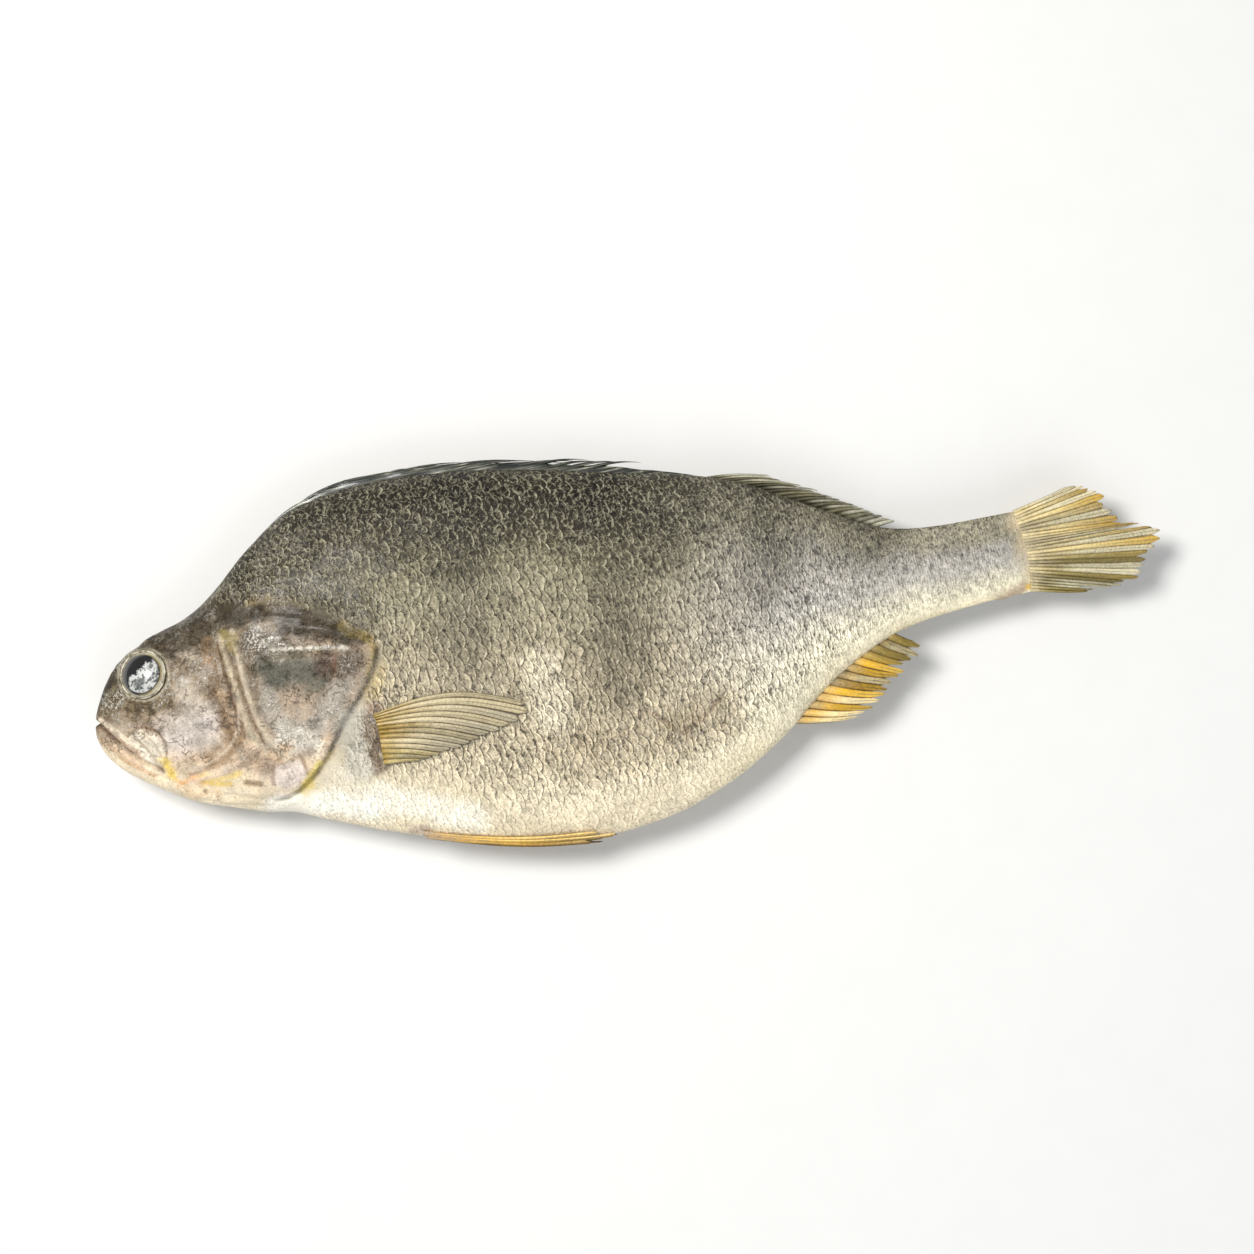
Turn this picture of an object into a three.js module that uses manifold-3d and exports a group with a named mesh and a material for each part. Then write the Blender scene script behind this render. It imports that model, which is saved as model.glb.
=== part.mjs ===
// A dried perch, whole, lying on its right flank.
// The head points to -X, the back to +Y, and the left flank faces up, +Z. Units are millimetres.
// The trunk and head are one grown solid. Each fin and each eye is its own solid, set against it.
import * as THREE from "three";
import { mergeVertices } from "three/addons/utils/BufferGeometryUtils.js";
import Module from "manifold-3d";

// Driving dimensions of the fish.
const STANDARD_LENGTH = 290; // snout to the root of the tail fin's rays
const BODY_DEPTH = 123; // back to belly, where the fish is deepest
const BODY_THICKNESS = 36; // flank to flank, before the underside was pressed flat
const FLATTENING = 2; // how much of the lower flank is pressed flat
const CLEARANCE = 0.3; // gap between pieces that meet

// Eyes.
const EYE_DIAMETER = 15;
const EYE_THICKNESS = 8;
const EYE_SINK = 1.5; // how far the middle of the eyeball lies under the skin
const EYE_CLEARANCE = 0.4;

// Mouth and gill opening.
const MOUTH_GAP = 1;
const GILL_GROOVE_WIDTH = 1.6;
const GILL_GROOVE_DEPTH = 1.4;

// Fins.
const FIN_THICKNESS = 1.2;
const SPINY_DORSAL_HEIGHT = 4.2; // folded down along the back
const SPINY_DORSAL_THICKNESS = 2.6;
const SOFT_DORSAL_HEIGHT = 5.4;
const ANAL_RAY_LENGTH = 25;
const ANAL_RAY_ANGLE = THREE.MathUtils.degToRad(14); // how far the rays point up from the tail direction
const CAUDAL_RAY_LENGTH = 41;
const PECTORAL_LENGTH = 43;
const PECTORAL_BASE = 15.5;
const PECTORAL_THICKNESS = 0.8;
const LEFT_PECTORAL_LIFT = 0.3; // its inner side lies this far above the skin
const RIGHT_PECTORAL_LIFT = -1; // pressed into the lower flank by the weight on it
const LEFT_PECTORAL_ANGLE = THREE.MathUtils.degToRad(2);
const RIGHT_PECTORAL_ANGLE = THREE.MathUtils.degToRad(-30); // swept down, clear of the pressed patch
const PELVIC_LENGTH = 58;
const PELVIC_WIDTH = 3.8;
const PELVIC_SPACING = 5; // between the middles of the two folded fins

// Shape of the fish, drawn for a standard length of 100: distance from the snout, then height from
// the axis of the body. The last station is the rounded end of the scaled tail stalk.
const BACK = [
  [0, -0.2], [0.8, 2.6], [3, 5.9], [7, 8.6], [12, 10.2], [16, 12.7], [20, 16], [25, 19],
  [33, 20.3], [44, 19.6], [60, 16.2], [72, 12.9], [80, 8.6], [87, 4.7], [94, 3.6], [102, 3.3],
];
const BELLY = [
  [0, -0.4], [0.8, -3.3], [4, -6.4], [10, -10.2], [16, -12.4], [20, -13.5], [30, -17.6],
  [42, -21.1], [54, -22.3], [63, -20.5], [72, -16], [80, -10.2], [87, -7], [94, -6.1], [102, -5.7],
];
// Height of the widest point of each section, and its width as a share of the greatest width.
const WIDEST = [
  [0, -0.5], [6, 1], [14, 0.5], [25, 2.5], [35, 5], [50, 4], [65, 1.5], [80, -0.5], [102, -1.2],
];
const WIDTH = [
  [0, 0.04], [1, 0.2], [4, 0.4], [8, 0.56], [14, 0.74], [20, 0.85], [30, 0.93], [40, 1],
  [48, 1], [60, 0.86], [72, 0.62], [82, 0.38], [92, 0.22], [99, 0.14], [102, 0.05],
];
const SECTION_POWER = 0.9; // 1 gives elliptical sections, less gives fuller ones
const OUTLINE_LENGTH = 100;
const TAIL_END = 102;

// Places on the fish, in the outline's own units.
const EYE_AT = [6.7, 4.8];
const MOUTH_LINE = [[-1, 1.6], [0.6, 0.4], [2.4, -2], [4.4, -4.2], [6.6, -5.9]];
const GILL_LINE = [
  [26, 6.4], [30, 4.3], [31.8, 2.7], [30.6, 0], [28.4, -2.6], [26.4, -4.8], [24.8, -7],
  [22.4, -9.4], [19.6, -11],
];
const PECTORAL_ROOT = [31, -7.4];
const PELVIC_ROOT = 32;
const SPINY_DORSAL_SPAN = [22.5, 69];
const SOFT_DORSAL_SPAN = [69.6, 87.6];
const ANAL_SPAN = [74.5, 84.5];

// Fineness of the facets.
const STATIONS = 54;
const SECTION_POINTS = 32;
const FIN_STEPS = 16;

/** A smooth function through points, with rounded ends at the snout because it runs in the root of x. */
function through(points) {
  const at = points.map(([x]) => Math.sqrt(x));
  const value = points.map(([, y]) => y);
  const last = points.length - 1;
  const slope = value.map((_, i) => {
    const before = Math.max(i - 1, 0);
    const after = Math.min(i + 1, last);
    return (value[after] - value[before]) / (at[after] - at[before]);
  });
  return (x) => {
    const s = Math.sqrt(THREE.MathUtils.clamp(x, points[0][0], points[last][0]));
    const i = Math.min(Math.max(at.findIndex((a) => a > s) - 1, 0), last - 1);
    const k = s >= at[last] ? last - 1 : i;
    const span = at[k + 1] - at[k];
    const t = (s - at[k]) / span;
    const rise = value[k + 1] - value[k];
    const early = slope[k] * span - rise;
    const late = rise - slope[k + 1] * span;
    return value[k] + t * rise + t * (1 - t) * ((1 - t) * early + t * late);
  };
}

const back = through(BACK);
const belly = through(BELLY);
const widest = through(WIDEST);
const width = through(WIDTH);
const outlineDepth =
  Math.max(...BACK.map(([, y]) => y)) - Math.min(...BELLY.map(([, y]) => y));
const alongX = STANDARD_LENGTH / OUTLINE_LENGTH;
const alongY = BODY_DEPTH / outlineDepth;

/** Half the thickness of the fish at a place on its outline, in millimetres. */
function flank(x, y) {
  const middle = widest(x);
  const reach = y > middle ? back(x) - middle : middle - belly(x);
  const across = (y - middle) / reach;
  if (Math.abs(across) >= 1) return 0;
  return (BODY_THICKNESS / 2) * width(x) * Math.sqrt(1 - across * across) ** SECTION_POWER;
}

/** A place on the outline as a vector in millimetres, z above the middle plane. */
const place = (x, y, z = 0) => new THREE.Vector3(x * alongX, y * alongY, z);

/** The direction in which the skin faces at a place on the left flank. */
function facing(x, y) {
  const step = 0.2;
  const slopeX = (flank(x + step, y) - flank(x - step, y)) / (2 * step * alongX);
  const slopeY = (flank(x, y + step) - flank(x, y - step)) / (2 * step * alongY);
  return new THREE.Vector3(-slopeX, -slopeY, 1).normalize();
}

/** A geometry from a list of vectors and a list of triangles. */
function shell(points, triangles) {
  return new THREE.BufferGeometry()
    .setAttribute("position", new THREE.Float32BufferAttribute(points.flatMap((p) => p.toArray()), 3))
    .setIndex(triangles.flat());
}

// ---- joining and cutting ----

const wasm = await Module();
wasm.setup();

/** A closed geometry, placed by a matrix, as a solid that can be joined or cut. */
function solid(geometry, matrix = new THREE.Matrix4()) {
  const bare = geometry.clone().applyMatrix4(matrix);
  bare.deleteAttribute("normal");
  bare.deleteAttribute("uv");
  const merged = mergeVertices(bare, 1e-4);
  return new wasm.Manifold(
    new wasm.Mesh({
      numProp: 3,
      vertProperties: merged.attributes.position.array,
      triVerts: new Uint32Array(merged.index.array),
    }),
  );
}

/** The surface of a solid as a geometry. */
function surface(made) {
  const mesh = made.getMesh();
  return new THREE.BufferGeometry()
    .setAttribute("position", new THREE.BufferAttribute(mesh.vertProperties, 3))
    .setIndex(new THREE.BufferAttribute(mesh.triVerts, 1));
}

// ---- trunk and head ----

/** The plain form of the fish: sections from the snout to the end of the tail stalk, skinned. */
function plainBody() {
  const points = [];
  const triangles = [];
  const xs = Array.from({ length: STATIONS }, (_, i) => {
    const share = (i + 0.5) / (STATIONS - 0.5);
    return TAIL_END * share ** 1.35; // closer together at the head
  });
  xs.forEach((x) => {
    const middle = widest(x);
    for (let k = 0; k < SECTION_POINTS; k++) {
      const turn = (2 * Math.PI * k) / SECTION_POINTS;
      const reach = Math.cos(turn) > 0 ? back(x) - middle : middle - belly(x);
      const y = middle + reach * Math.cos(turn);
      const z = (BODY_THICKNESS / 2) * width(x) * Math.abs(Math.sin(turn)) ** SECTION_POWER;
      points.push(place(x, y, Math.sign(Math.sin(turn)) * z));
    }
  });
  const ring = (i, k) => i * SECTION_POINTS + (k % SECTION_POINTS);
  for (let i = 0; i < xs.length - 1; i++)
    for (let k = 0; k < SECTION_POINTS; k++)
      triangles.push(
        [ring(i, k), ring(i, k + 1), ring(i + 1, k)],
        [ring(i, k + 1), ring(i + 1, k + 1), ring(i + 1, k)],
      );
  const snout = points.push(place(0, BACK[0][1])) - 1;
  const end = points.push(place(TAIL_END + 0.2, widest(TAIL_END))) - 1;
  for (let k = 0; k < SECTION_POINTS; k++) {
    triangles.push([snout, ring(0, k + 1), ring(0, k)]);
    triangles.push([end, ring(xs.length - 1, k), ring(xs.length - 1, k + 1)]);
  }
  return shell(points, triangles);
}

/** A closed band between two rows of vectors, each with an inner and an outer end. */
function slab(columns, rows, inner, outer) {
  const points = [];
  const triangles = [];
  for (let i = 0; i < columns; i++)
    for (let j = 0; j < rows; j++) points.push(inner(i, j), outer(i, j));
  const low = (i, j) => 2 * (i * rows + j);
  const high = (i, j) => low(i, j) + 1;
  const quad = (a, b, c, d) => triangles.push([a, b, c], [a, c, d]);
  for (let i = 0; i < columns - 1; i++)
    for (let j = 0; j < rows - 1; j++) {
      quad(high(i, j), high(i + 1, j), high(i + 1, j + 1), high(i, j + 1));
      quad(low(i, j), low(i, j + 1), low(i + 1, j + 1), low(i + 1, j));
    }
  for (let i = 0; i < columns - 1; i++) {
    quad(low(i, 0), low(i + 1, 0), high(i + 1, 0), high(i, 0));
    quad(high(i, rows - 1), high(i + 1, rows - 1), low(i + 1, rows - 1), low(i, rows - 1));
  }
  for (let j = 0; j < rows - 1; j++) {
    quad(high(0, j), high(0, j + 1), low(0, j + 1), low(0, j));
    quad(low(columns - 1, j), low(columns - 1, j + 1), high(columns - 1, j + 1), high(columns - 1, j));
  }
  return shell(points, triangles);
}

/** A slit of even width along a line of places, right through the fish. */
function mouthSlit() {
  const line = new THREE.SplineCurve(
    MOUTH_LINE.map(([x, y]) => new THREE.Vector2(x * alongX, y * alongY)),
  );
  const steps = 10;
  const sides = [-1, 1].map((side) =>
    Array.from({ length: steps + 1 }, (_, i) => {
      const along = line.getPoint(i / steps);
      const aside = line.getTangent(i / steps).rotateAround(new THREE.Vector2(), Math.PI / 2);
      return along.addScaledVector(aside, (side * MOUTH_GAP) / 2);
    }),
  );
  const outline = new THREE.Shape([...sides[0], ...sides[1].reverse()]);
  const depth = BODY_THICKNESS;
  return new THREE.ExtrudeGeometry(outline, { depth, bevelEnabled: false }).translate(0, 0, -depth / 2);
}

/** The groove behind the gill cover, on the flank that a sign of 1 (left) or -1 (right) gives. */
function gillGroove(sign) {
  const line = new THREE.SplineCurve(GILL_LINE.map(([x, y]) => new THREE.Vector2(x, y)));
  const columns = 20;
  const spot = (i, j) => {
    const t = i / (columns - 1);
    const aside = line.getTangent(t).rotateAround(new THREE.Vector2(), Math.PI / 2);
    return line.getPoint(t).addScaledVector(aside, ((j - 0.5) * GILL_GROOVE_WIDTH) / alongX);
  };
  const level = (i, j, offset) => {
    const { x, y } = spot(i, j);
    return place(x, y, flank(x, y) + offset);
  };
  const groove = slab(
    columns,
    2,
    (i, j) => level(i, j, -GILL_GROOVE_DEPTH),
    (i, j) => level(i, j, GILL_GROOVE_DEPTH),
  );
  return sign > 0 ? solid(groove) : solid(groove).mirror([0, 0, 1]);
}

/** An eyeball's matrix on the flank that a sign of 1 (left) or -1 (right) gives. */
function eyePlacement(sign) {
  const [x, y] = EYE_AT;
  const out = facing(x, y);
  const centre = place(x, y, flank(x, y)).addScaledVector(out, -EYE_SINK);
  out.z *= sign;
  centre.z *= sign;
  const turn = new THREE.Quaternion().setFromUnitVectors(new THREE.Vector3(0, 0, 1), out);
  return new THREE.Matrix4().compose(centre, turn, new THREE.Vector3(1, 1, 1));
}

/** A lens-shaped eyeball, thickest along its own Z, grown by a margin. */
function eyeball(margin = 0) {
  const across = EYE_DIAMETER / 2 + margin;
  const through = EYE_THICKNESS / 2 + margin;
  const round = 10;
  const profile = Array.from({ length: round + 1 }, (_, i) => {
    const turn = Math.PI * (i / round - 0.5);
    return new THREE.Vector2(Math.max(across * Math.cos(turn), 0), through * Math.sin(turn));
  });
  return new THREE.LatheGeometry(profile, 24).rotateX(Math.PI / 2);
}

/** The block of floor that presses the lower flank flat. */
function floorBlock() {
  const size = 3 * STANDARD_LENGTH;
  const top = -(BODY_THICKNESS / 2 - FLATTENING);
  return solid(new THREE.BoxGeometry(size, size, size).translate(0, 0, top - size / 2));
}

function bodyGeometry() {
  let made = solid(plainBody());
  for (const sign of [1, -1]) {
    made = made.subtract(solid(eyeball(EYE_CLEARANCE), eyePlacement(sign)));
    made = made.subtract(gillGroove(sign));
  }
  const imprint = pectoralFin(-1, RIGHT_PECTORAL_ANGLE, RIGHT_PECTORAL_LIFT, 1.5 * CLEARANCE);
  made = made.subtract(solid(imprint)).subtract(solid(mouthSlit()));
  return surface(made.subtract(floorBlock()));
}

// ---- fins ----

/** A flat fin in the middle plane from an outline in millimetres. */
function plate(outline, thickness) {
  return new THREE.ExtrudeGeometry(new THREE.Shape(outline), { depth: thickness, bevelEnabled: false })
    .translate(0, 0, -thickness / 2);
}

/** Evenly spaced numbers from a first to a last. */
const spread = ([first, last], steps = FIN_STEPS) =>
  Array.from({ length: steps + 1 }, (_, i) => first + ((last - first) * i) / steps);

/** A fin folded down along the back: low at the front, and at its full height by a tenth of its length. */
function foldedFin(span, height, thickness, tipOverhang) {
  const xs = spread(span, 2 * FIN_STEPS);
  const root = xs.map((x) => new THREE.Vector2(x * alongX, back(x) * alongY + CLEARANCE));
  const crest = root.map((p, i) => {
    const share = i / (xs.length - 1);
    const rise = Math.min(1, 0.35 + 6.5 * share);
    const fall = Math.min(1, 0.3 + 5 * (1 - share));
    return new THREE.Vector2(p.x + tipOverhang * share, p.y + height * rise * fall);
  });
  return plate([...root, ...crest.reverse()], thickness);
}

/** The anal fin: rays rooted along the belly, swept back towards the tail. */
function analFin() {
  const xs = spread(ANAL_SPAN);
  const root = xs.map((x) => new THREE.Vector2(x * alongX, belly(x) * alongY - CLEARANCE));
  const edge = root.map((p, i) => {
    const share = i / (xs.length - 1);
    const length = ANAL_RAY_LENGTH * (1 - 0.45 * share);
    const down = 0.34 * (1 - share) * length;
    return new THREE.Vector2(
      p.x + length * Math.cos(ANAL_RAY_ANGLE),
      p.y + length * Math.sin(ANAL_RAY_ANGLE) - down,
    );
  });
  const below = edge.map((p) => {
    const limit = belly(p.x / alongX) * alongY - 2 * CLEARANCE;
    return new THREE.Vector2(p.x, Math.min(p.y, limit));
  });
  return plate([...below, ...root.reverse()], FIN_THICKNESS);
}

/** The tail fin: a fan of rays from the end of the tail stalk, worn shorter above than below. */
function caudalFin() {
  const rootX = (TAIL_END + 0.2) * alongX + CLEARANCE;
  const top = back(TAIL_END);
  const bottom = belly(TAIL_END);
  const reach = [0.55, 0.68, 0.74, 0.72, 0.86, 0.98, 1, 0.94, 0.78];
  const root = spread([top, bottom], reach.length - 1).map((y) => new THREE.Vector2(rootX, y * alongY));
  const tips = root.map((p, i) => {
    const fan = THREE.MathUtils.degToRad(12 - (26 * i) / (reach.length - 1));
    const length = CAUDAL_RAY_LENGTH * reach[i];
    return new THREE.Vector2(p.x + length * Math.cos(fan), p.y + length * Math.sin(fan));
  });
  return plate([...root.reverse(), ...tips], FIN_THICKNESS);
}

/**
 * A pectoral fin laid along the flank that a sign of 1 (left) or -1 (right) gives.
 * A margin grows it all round, and most of all outwards, for cutting its imprint in the skin.
 */
function pectoralFin(sign, angle, lift, margin = 0) {
  const [rootX, rootY] = PECTORAL_ROOT;
  const columns = 14;
  const rows = 7;
  const spot = (i, j) => {
    const share = i / (columns - 1);
    const along = share * (PECTORAL_LENGTH + 2 * margin) - margin;
    const half = (PECTORAL_BASE / 2) * Math.sqrt(1 - 0.9 * share ** 3) + margin;
    const across = half * ((2 * j) / (rows - 1) - 1);
    const x = along * Math.cos(angle) - across * Math.sin(angle) * share;
    const y = along * Math.sin(angle) + across * (1 - share + Math.cos(angle) * share);
    return [rootX + x / alongX, rootY + y / alongY];
  };
  const level = (i, j, offset) => {
    const [x, y] = spot(i, j);
    return place(x, y, sign * (flank(x, y) + offset));
  };
  const near = lift - margin;
  const far = lift + PECTORAL_THICKNESS + 4 * margin;
  const [inner, outer] = sign > 0 ? [near, far] : [far, near];
  return slab(
    columns,
    rows,
    (i, j) => level(i, j, inner),
    (i, j) => level(i, j, outer),
  );
}

/** A pelvic fin folded back along the edge of the belly. */
function pelvicFin(sign) {
  const xs = spread([PELVIC_ROOT, PELVIC_ROOT + PELVIC_LENGTH / alongX]);
  const root = xs.map((x) => new THREE.Vector2(x * alongX, belly(x) * alongY - CLEARANCE));
  const edge = root.map((p, i) => {
    const share = i / (xs.length - 1);
    const drop = PELVIC_WIDTH * Math.min(1, 0.3 + 3 * share) * Math.min(1, 0.25 + 2.2 * (1 - share));
    return new THREE.Vector2(p.x, p.y - drop);
  });
  return plate([...edge, ...root.reverse()], FIN_THICKNESS)
    .translate(0, 0, (sign * PELVIC_SPACING) / 2);
}

// ---- the whole fish ----

const skin = { color: 0x8d897a, roughness: 0.55, metalness: 0 };
const eyeGlass = { color: 0x2a2723, roughness: 0.15, metalness: 0 };
const darkFin = { color: 0x4b4d40, roughness: 0.5, metalness: 0 };
const paleFin = { color: 0xc9b27a, roughness: 0.5, metalness: 0 };
const orangeFin = { color: 0xd08f2c, roughness: 0.5, metalness: 0 };

const perch = new THREE.Group();

/** Adds one named piece of the fish. */
function piece(name, geometry, look, matrix) {
  const mesh = new THREE.Mesh(geometry, new THREE.MeshStandardMaterial(look));
  mesh.name = name;
  if (matrix) mesh.applyMatrix4(matrix);
  perch.add(mesh);
}

piece("body", bodyGeometry(), skin);
piece("eye_left", eyeball(), eyeGlass, eyePlacement(1));
piece("eye_right", eyeball(), eyeGlass, eyePlacement(-1));
piece(
  "spiny_dorsal_fin",
  foldedFin(SPINY_DORSAL_SPAN, SPINY_DORSAL_HEIGHT, SPINY_DORSAL_THICKNESS, 0),
  darkFin,
);
piece("soft_dorsal_fin", foldedFin(SOFT_DORSAL_SPAN, SOFT_DORSAL_HEIGHT, FIN_THICKNESS, 3), darkFin);
piece("caudal_fin", caudalFin(), paleFin);
piece("anal_fin", analFin(), orangeFin);
piece("pectoral_fin_left", pectoralFin(1, LEFT_PECTORAL_ANGLE, LEFT_PECTORAL_LIFT), paleFin);
piece("pectoral_fin_right", pectoralFin(-1, RIGHT_PECTORAL_ANGLE, RIGHT_PECTORAL_LIFT), paleFin);
piece("pelvic_fin_left", pelvicFin(1), orangeFin);
piece("pelvic_fin_right", pelvicFin(-1), orangeFin);

// The origin is the middle of the footprint, on the surface that the fish lies on.
const box = new THREE.Box3().setFromObject(perch, true);
const middle = box.getCenter(new THREE.Vector3());
perch.position.set(-middle.x, -middle.y, BODY_THICKNESS / 2 - FLATTENING);

export default perch;
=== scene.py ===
"""Looks of one whole dried perch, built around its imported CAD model.

The fish lies on its right flank. X runs from head to tail, Y from belly to back, and Z out of the left
flank. Places on the fish are written in fish units: hundredths of the length from the snout to the root
of the tail fin, X from the snout and Y up from the body's axis. Heights and thicknesses are in
millimetres where a name says so, and in metres elsewhere.
"""

import logging
import math
from dataclasses import dataclass, field
from enum import Enum
from typing import Any, Callable, Iterable, Sequence

import bmesh
import bpy
import numpy as np
from mathutils import Matrix, Vector


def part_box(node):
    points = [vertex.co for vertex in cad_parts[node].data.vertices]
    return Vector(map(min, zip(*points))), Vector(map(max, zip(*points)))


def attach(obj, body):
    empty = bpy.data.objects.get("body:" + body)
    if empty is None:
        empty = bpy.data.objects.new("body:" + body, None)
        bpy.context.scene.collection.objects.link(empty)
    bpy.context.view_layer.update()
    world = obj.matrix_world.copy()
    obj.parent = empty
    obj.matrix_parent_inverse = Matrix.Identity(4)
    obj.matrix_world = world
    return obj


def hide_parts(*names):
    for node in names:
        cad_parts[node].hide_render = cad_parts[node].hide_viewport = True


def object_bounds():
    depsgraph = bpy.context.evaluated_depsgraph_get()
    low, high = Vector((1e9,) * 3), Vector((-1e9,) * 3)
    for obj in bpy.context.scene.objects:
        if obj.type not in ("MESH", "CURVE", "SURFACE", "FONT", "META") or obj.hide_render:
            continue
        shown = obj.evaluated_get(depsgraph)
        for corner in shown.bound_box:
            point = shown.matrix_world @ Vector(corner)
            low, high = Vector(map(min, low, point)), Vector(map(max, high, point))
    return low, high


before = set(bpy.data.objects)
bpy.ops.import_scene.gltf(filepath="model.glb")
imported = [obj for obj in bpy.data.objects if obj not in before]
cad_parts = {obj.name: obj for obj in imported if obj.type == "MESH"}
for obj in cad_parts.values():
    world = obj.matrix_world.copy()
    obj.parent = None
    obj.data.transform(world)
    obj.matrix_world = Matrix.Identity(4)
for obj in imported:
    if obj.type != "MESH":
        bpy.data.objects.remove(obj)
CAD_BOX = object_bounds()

LOG = logging.getLogger("dried_perch")
MM = 0.001
TAIL_END = 102.2
FLOOR_GAP = 0.00002  # metres that the lowest skin stays above the floor
WHOLE_FISH = 200.0  # a reach, in fish units, that takes in every place
OUT_OF_REACH = 1e3  # distance given to places that a line doesn't reach
RIPPLE_WAVES = 7
RIPPLE_SUM = 3.2  # about the greatest sum of that many waves
GRIT = 1500.0  # pace of the finest grain in a finish, in swells per metre
Colour = tuple[float, float, float]
Points = tuple[tuple[float, float], ...]


class Flank(Enum):
    """The two sides of the fish, by the sign of Z that they face."""

    LEFT = 1
    RIGHT = -1


# ---------------------------------------------------------------------------------------------------
# Curves and the plain form of the fish
# ---------------------------------------------------------------------------------------------------


@dataclass(frozen=True)
class Profile:
    """A smooth value along the fish, drawn through stated points and round at the snout."""

    points: Points

    def at(self, x: np.ndarray) -> np.ndarray:
        """Gives the value at each place.

        Args:
            x: Places along the fish, in fish units.

        Returns:
            The value at each of them.
        """
        places, values = np.array(self.points, float).T
        knots = np.sqrt(places)
        before = np.maximum(np.arange(len(knots)) - 1, 0)
        after = np.minimum(np.arange(len(knots)) + 1, len(knots) - 1)
        slope = (values[after] - values[before]) / (knots[after] - knots[before])
        s = np.sqrt(np.clip(x, places[0], places[-1]))
        k = np.clip(np.searchsorted(knots, s, side="right") - 1, 0, len(knots) - 2)
        span = knots[k + 1] - knots[k]
        t = (s - knots[k]) / span
        rise = values[k + 1] - values[k]
        early = slope[k] * span - rise
        late = rise - slope[k + 1] * span
        return values[k] + t * rise + t * (1 - t) * ((1 - t) * early + t * late)

    def one(self, x: float) -> float:
        """Gives the value at one place."""
        return float(self.at(np.array(x)))


BACK = Profile((
    (0, -0.2), (0.8, 2.6), (3, 5.9), (7, 8.6), (12, 10.2), (16, 12.7), (20, 16), (25, 19),
    (33, 20.3), (44, 19.6), (60, 16.2), (72, 12.9), (80, 8.6), (87, 4.7), (94, 3.6), (102, 3.3),
))
BELLY = Profile((
    (0, -0.4), (0.8, -3.3), (4, -6.4), (10, -10.2), (16, -12.4), (20, -13.5), (30, -17.6),
    (42, -21.1), (54, -22.3), (63, -20.5), (72, -16), (80, -10.2), (87, -7), (94, -6.1), (102, -5.7),
))
WIDEST = Profile((
    (0, -0.5), (6, 1), (14, 0.5), (25, 2.5), (35, 5), (50, 4), (65, 1.5), (80, -0.5), (102, -1.2),
))
WIDTH = Profile((
    (0, 0.04), (1, 0.2), (4, 0.4), (8, 0.56), (14, 0.74), (20, 0.85), (30, 0.93), (40, 1),
    (48, 1), (60, 0.86), (72, 0.62), (82, 0.38), (92, 0.22), (99, 0.14), (102, 0.05),
))


@dataclass(frozen=True)
class FishForm:
    """The plain form that the CAD solid has: its outline, its sections and where it lies."""

    length: float = 0.290
    depth: float = 0.123
    thickness: float = 0.036
    section_power: float = 0.9
    outline_depth: float = 42.6
    snout_x: float = 0.0
    axis_y: float = 0.0
    middle_z: float = 0.016

    @classmethod
    def from_frame(cls) -> "FishForm":
        """Places the form where the CAD solids are.

        Returns:
            The form.
        """
        low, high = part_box("body")
        tail_low, tail_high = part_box("caudal_fin")
        x = np.linspace(0, TAIL_END, 800)
        unit = cls.depth / cls.outline_depth
        middle = (BACK.at(x).max() + BELLY.at(x).min()) / 2 * unit
        return cls(
            snout_x=low.x,
            axis_y=(low.y + high.y) / 2 - middle,
            middle_z=(tail_low.z + tail_high.z) / 2,
        )

    @property
    def along(self) -> float:
        """Metres in one fish unit along X."""
        return self.length / 100

    @property
    def upward(self) -> float:
        """Metres in one fish unit along Y."""
        return self.depth / self.outline_depth

    def half_thickness(self, x: np.ndarray, y: np.ndarray) -> np.ndarray:
        """Gives the distance from the middle plane to the skin, in metres, 0 outside the outline.

        Args:
            x: Fish units from the snout.
            y: Fish units up from the body's axis.

        Returns:
            The distance at each place.
        """
        middle = WIDEST.at(x)
        reach = np.where(y > middle, BACK.at(x) - middle, middle - BELLY.at(x))
        inside = np.clip(1 - ((y - middle) / reach) ** 2, 0, 1)
        return self.thickness / 2 * WIDTH.at(x) * np.sqrt(inside) ** self.section_power

    def place(self, x: np.ndarray, y: np.ndarray, z: np.ndarray | float = 0.0) -> np.ndarray:
        """Turns places on the fish into points in the row frame.

        Args:
            x: Fish units from the snout.
            y: Fish units up from the body's axis.
            z: Metres from the middle plane, above zero on the left flank.

        Returns:
            An array of points, in metres.
        """
        flat = np.broadcast_to(z, np.shape(x))
        return np.stack(
            [self.snout_x + x * self.along, self.axis_y + y * self.upward, self.middle_z + flat], axis=-1
        )

    def point(self, x: float, y: float, z: float) -> Vector:
        """Turns one place on the fish into a point in the row frame."""
        return Vector(self.place(np.array(x), np.array(y), z))

    def facing(self, x: float, y: float, flank: Flank) -> Vector:
        """Gives the direction in which the skin faces at a place on a flank.

        Args:
            x: Fish units from the snout.
            y: Fish units up from the body's axis.
            flank: The flank that the place is on.

        Returns:
            A direction of length 1.
        """
        step = 0.2
        ahead = self.half_thickness(np.array([x + step, x - step]), np.array([y, y]))
        above = self.half_thickness(np.array([x, x]), np.array([y + step, y - step]))
        slope_x = (ahead[0] - ahead[1]) / (2 * step * self.along)
        slope_y = (above[0] - above[1]) / (2 * step * self.upward)
        return Vector((-slope_x, -slope_y, flank.value)).normalized()


FORM = FishForm.from_frame()


def smoothstep(low: float, high: float, value: np.ndarray) -> np.ndarray:
    """Rises smoothly from 0 at low to 1 at high."""
    t = np.clip((value - low) / (high - low), 0, 1)
    return t * t * (3 - 2 * t)


def hump(distance: np.ndarray, width: float | np.ndarray) -> np.ndarray:
    """Falls smoothly from 1 at no distance to nearly 0 at twice the width."""
    return np.exp(-((distance / width) ** 2))


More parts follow.
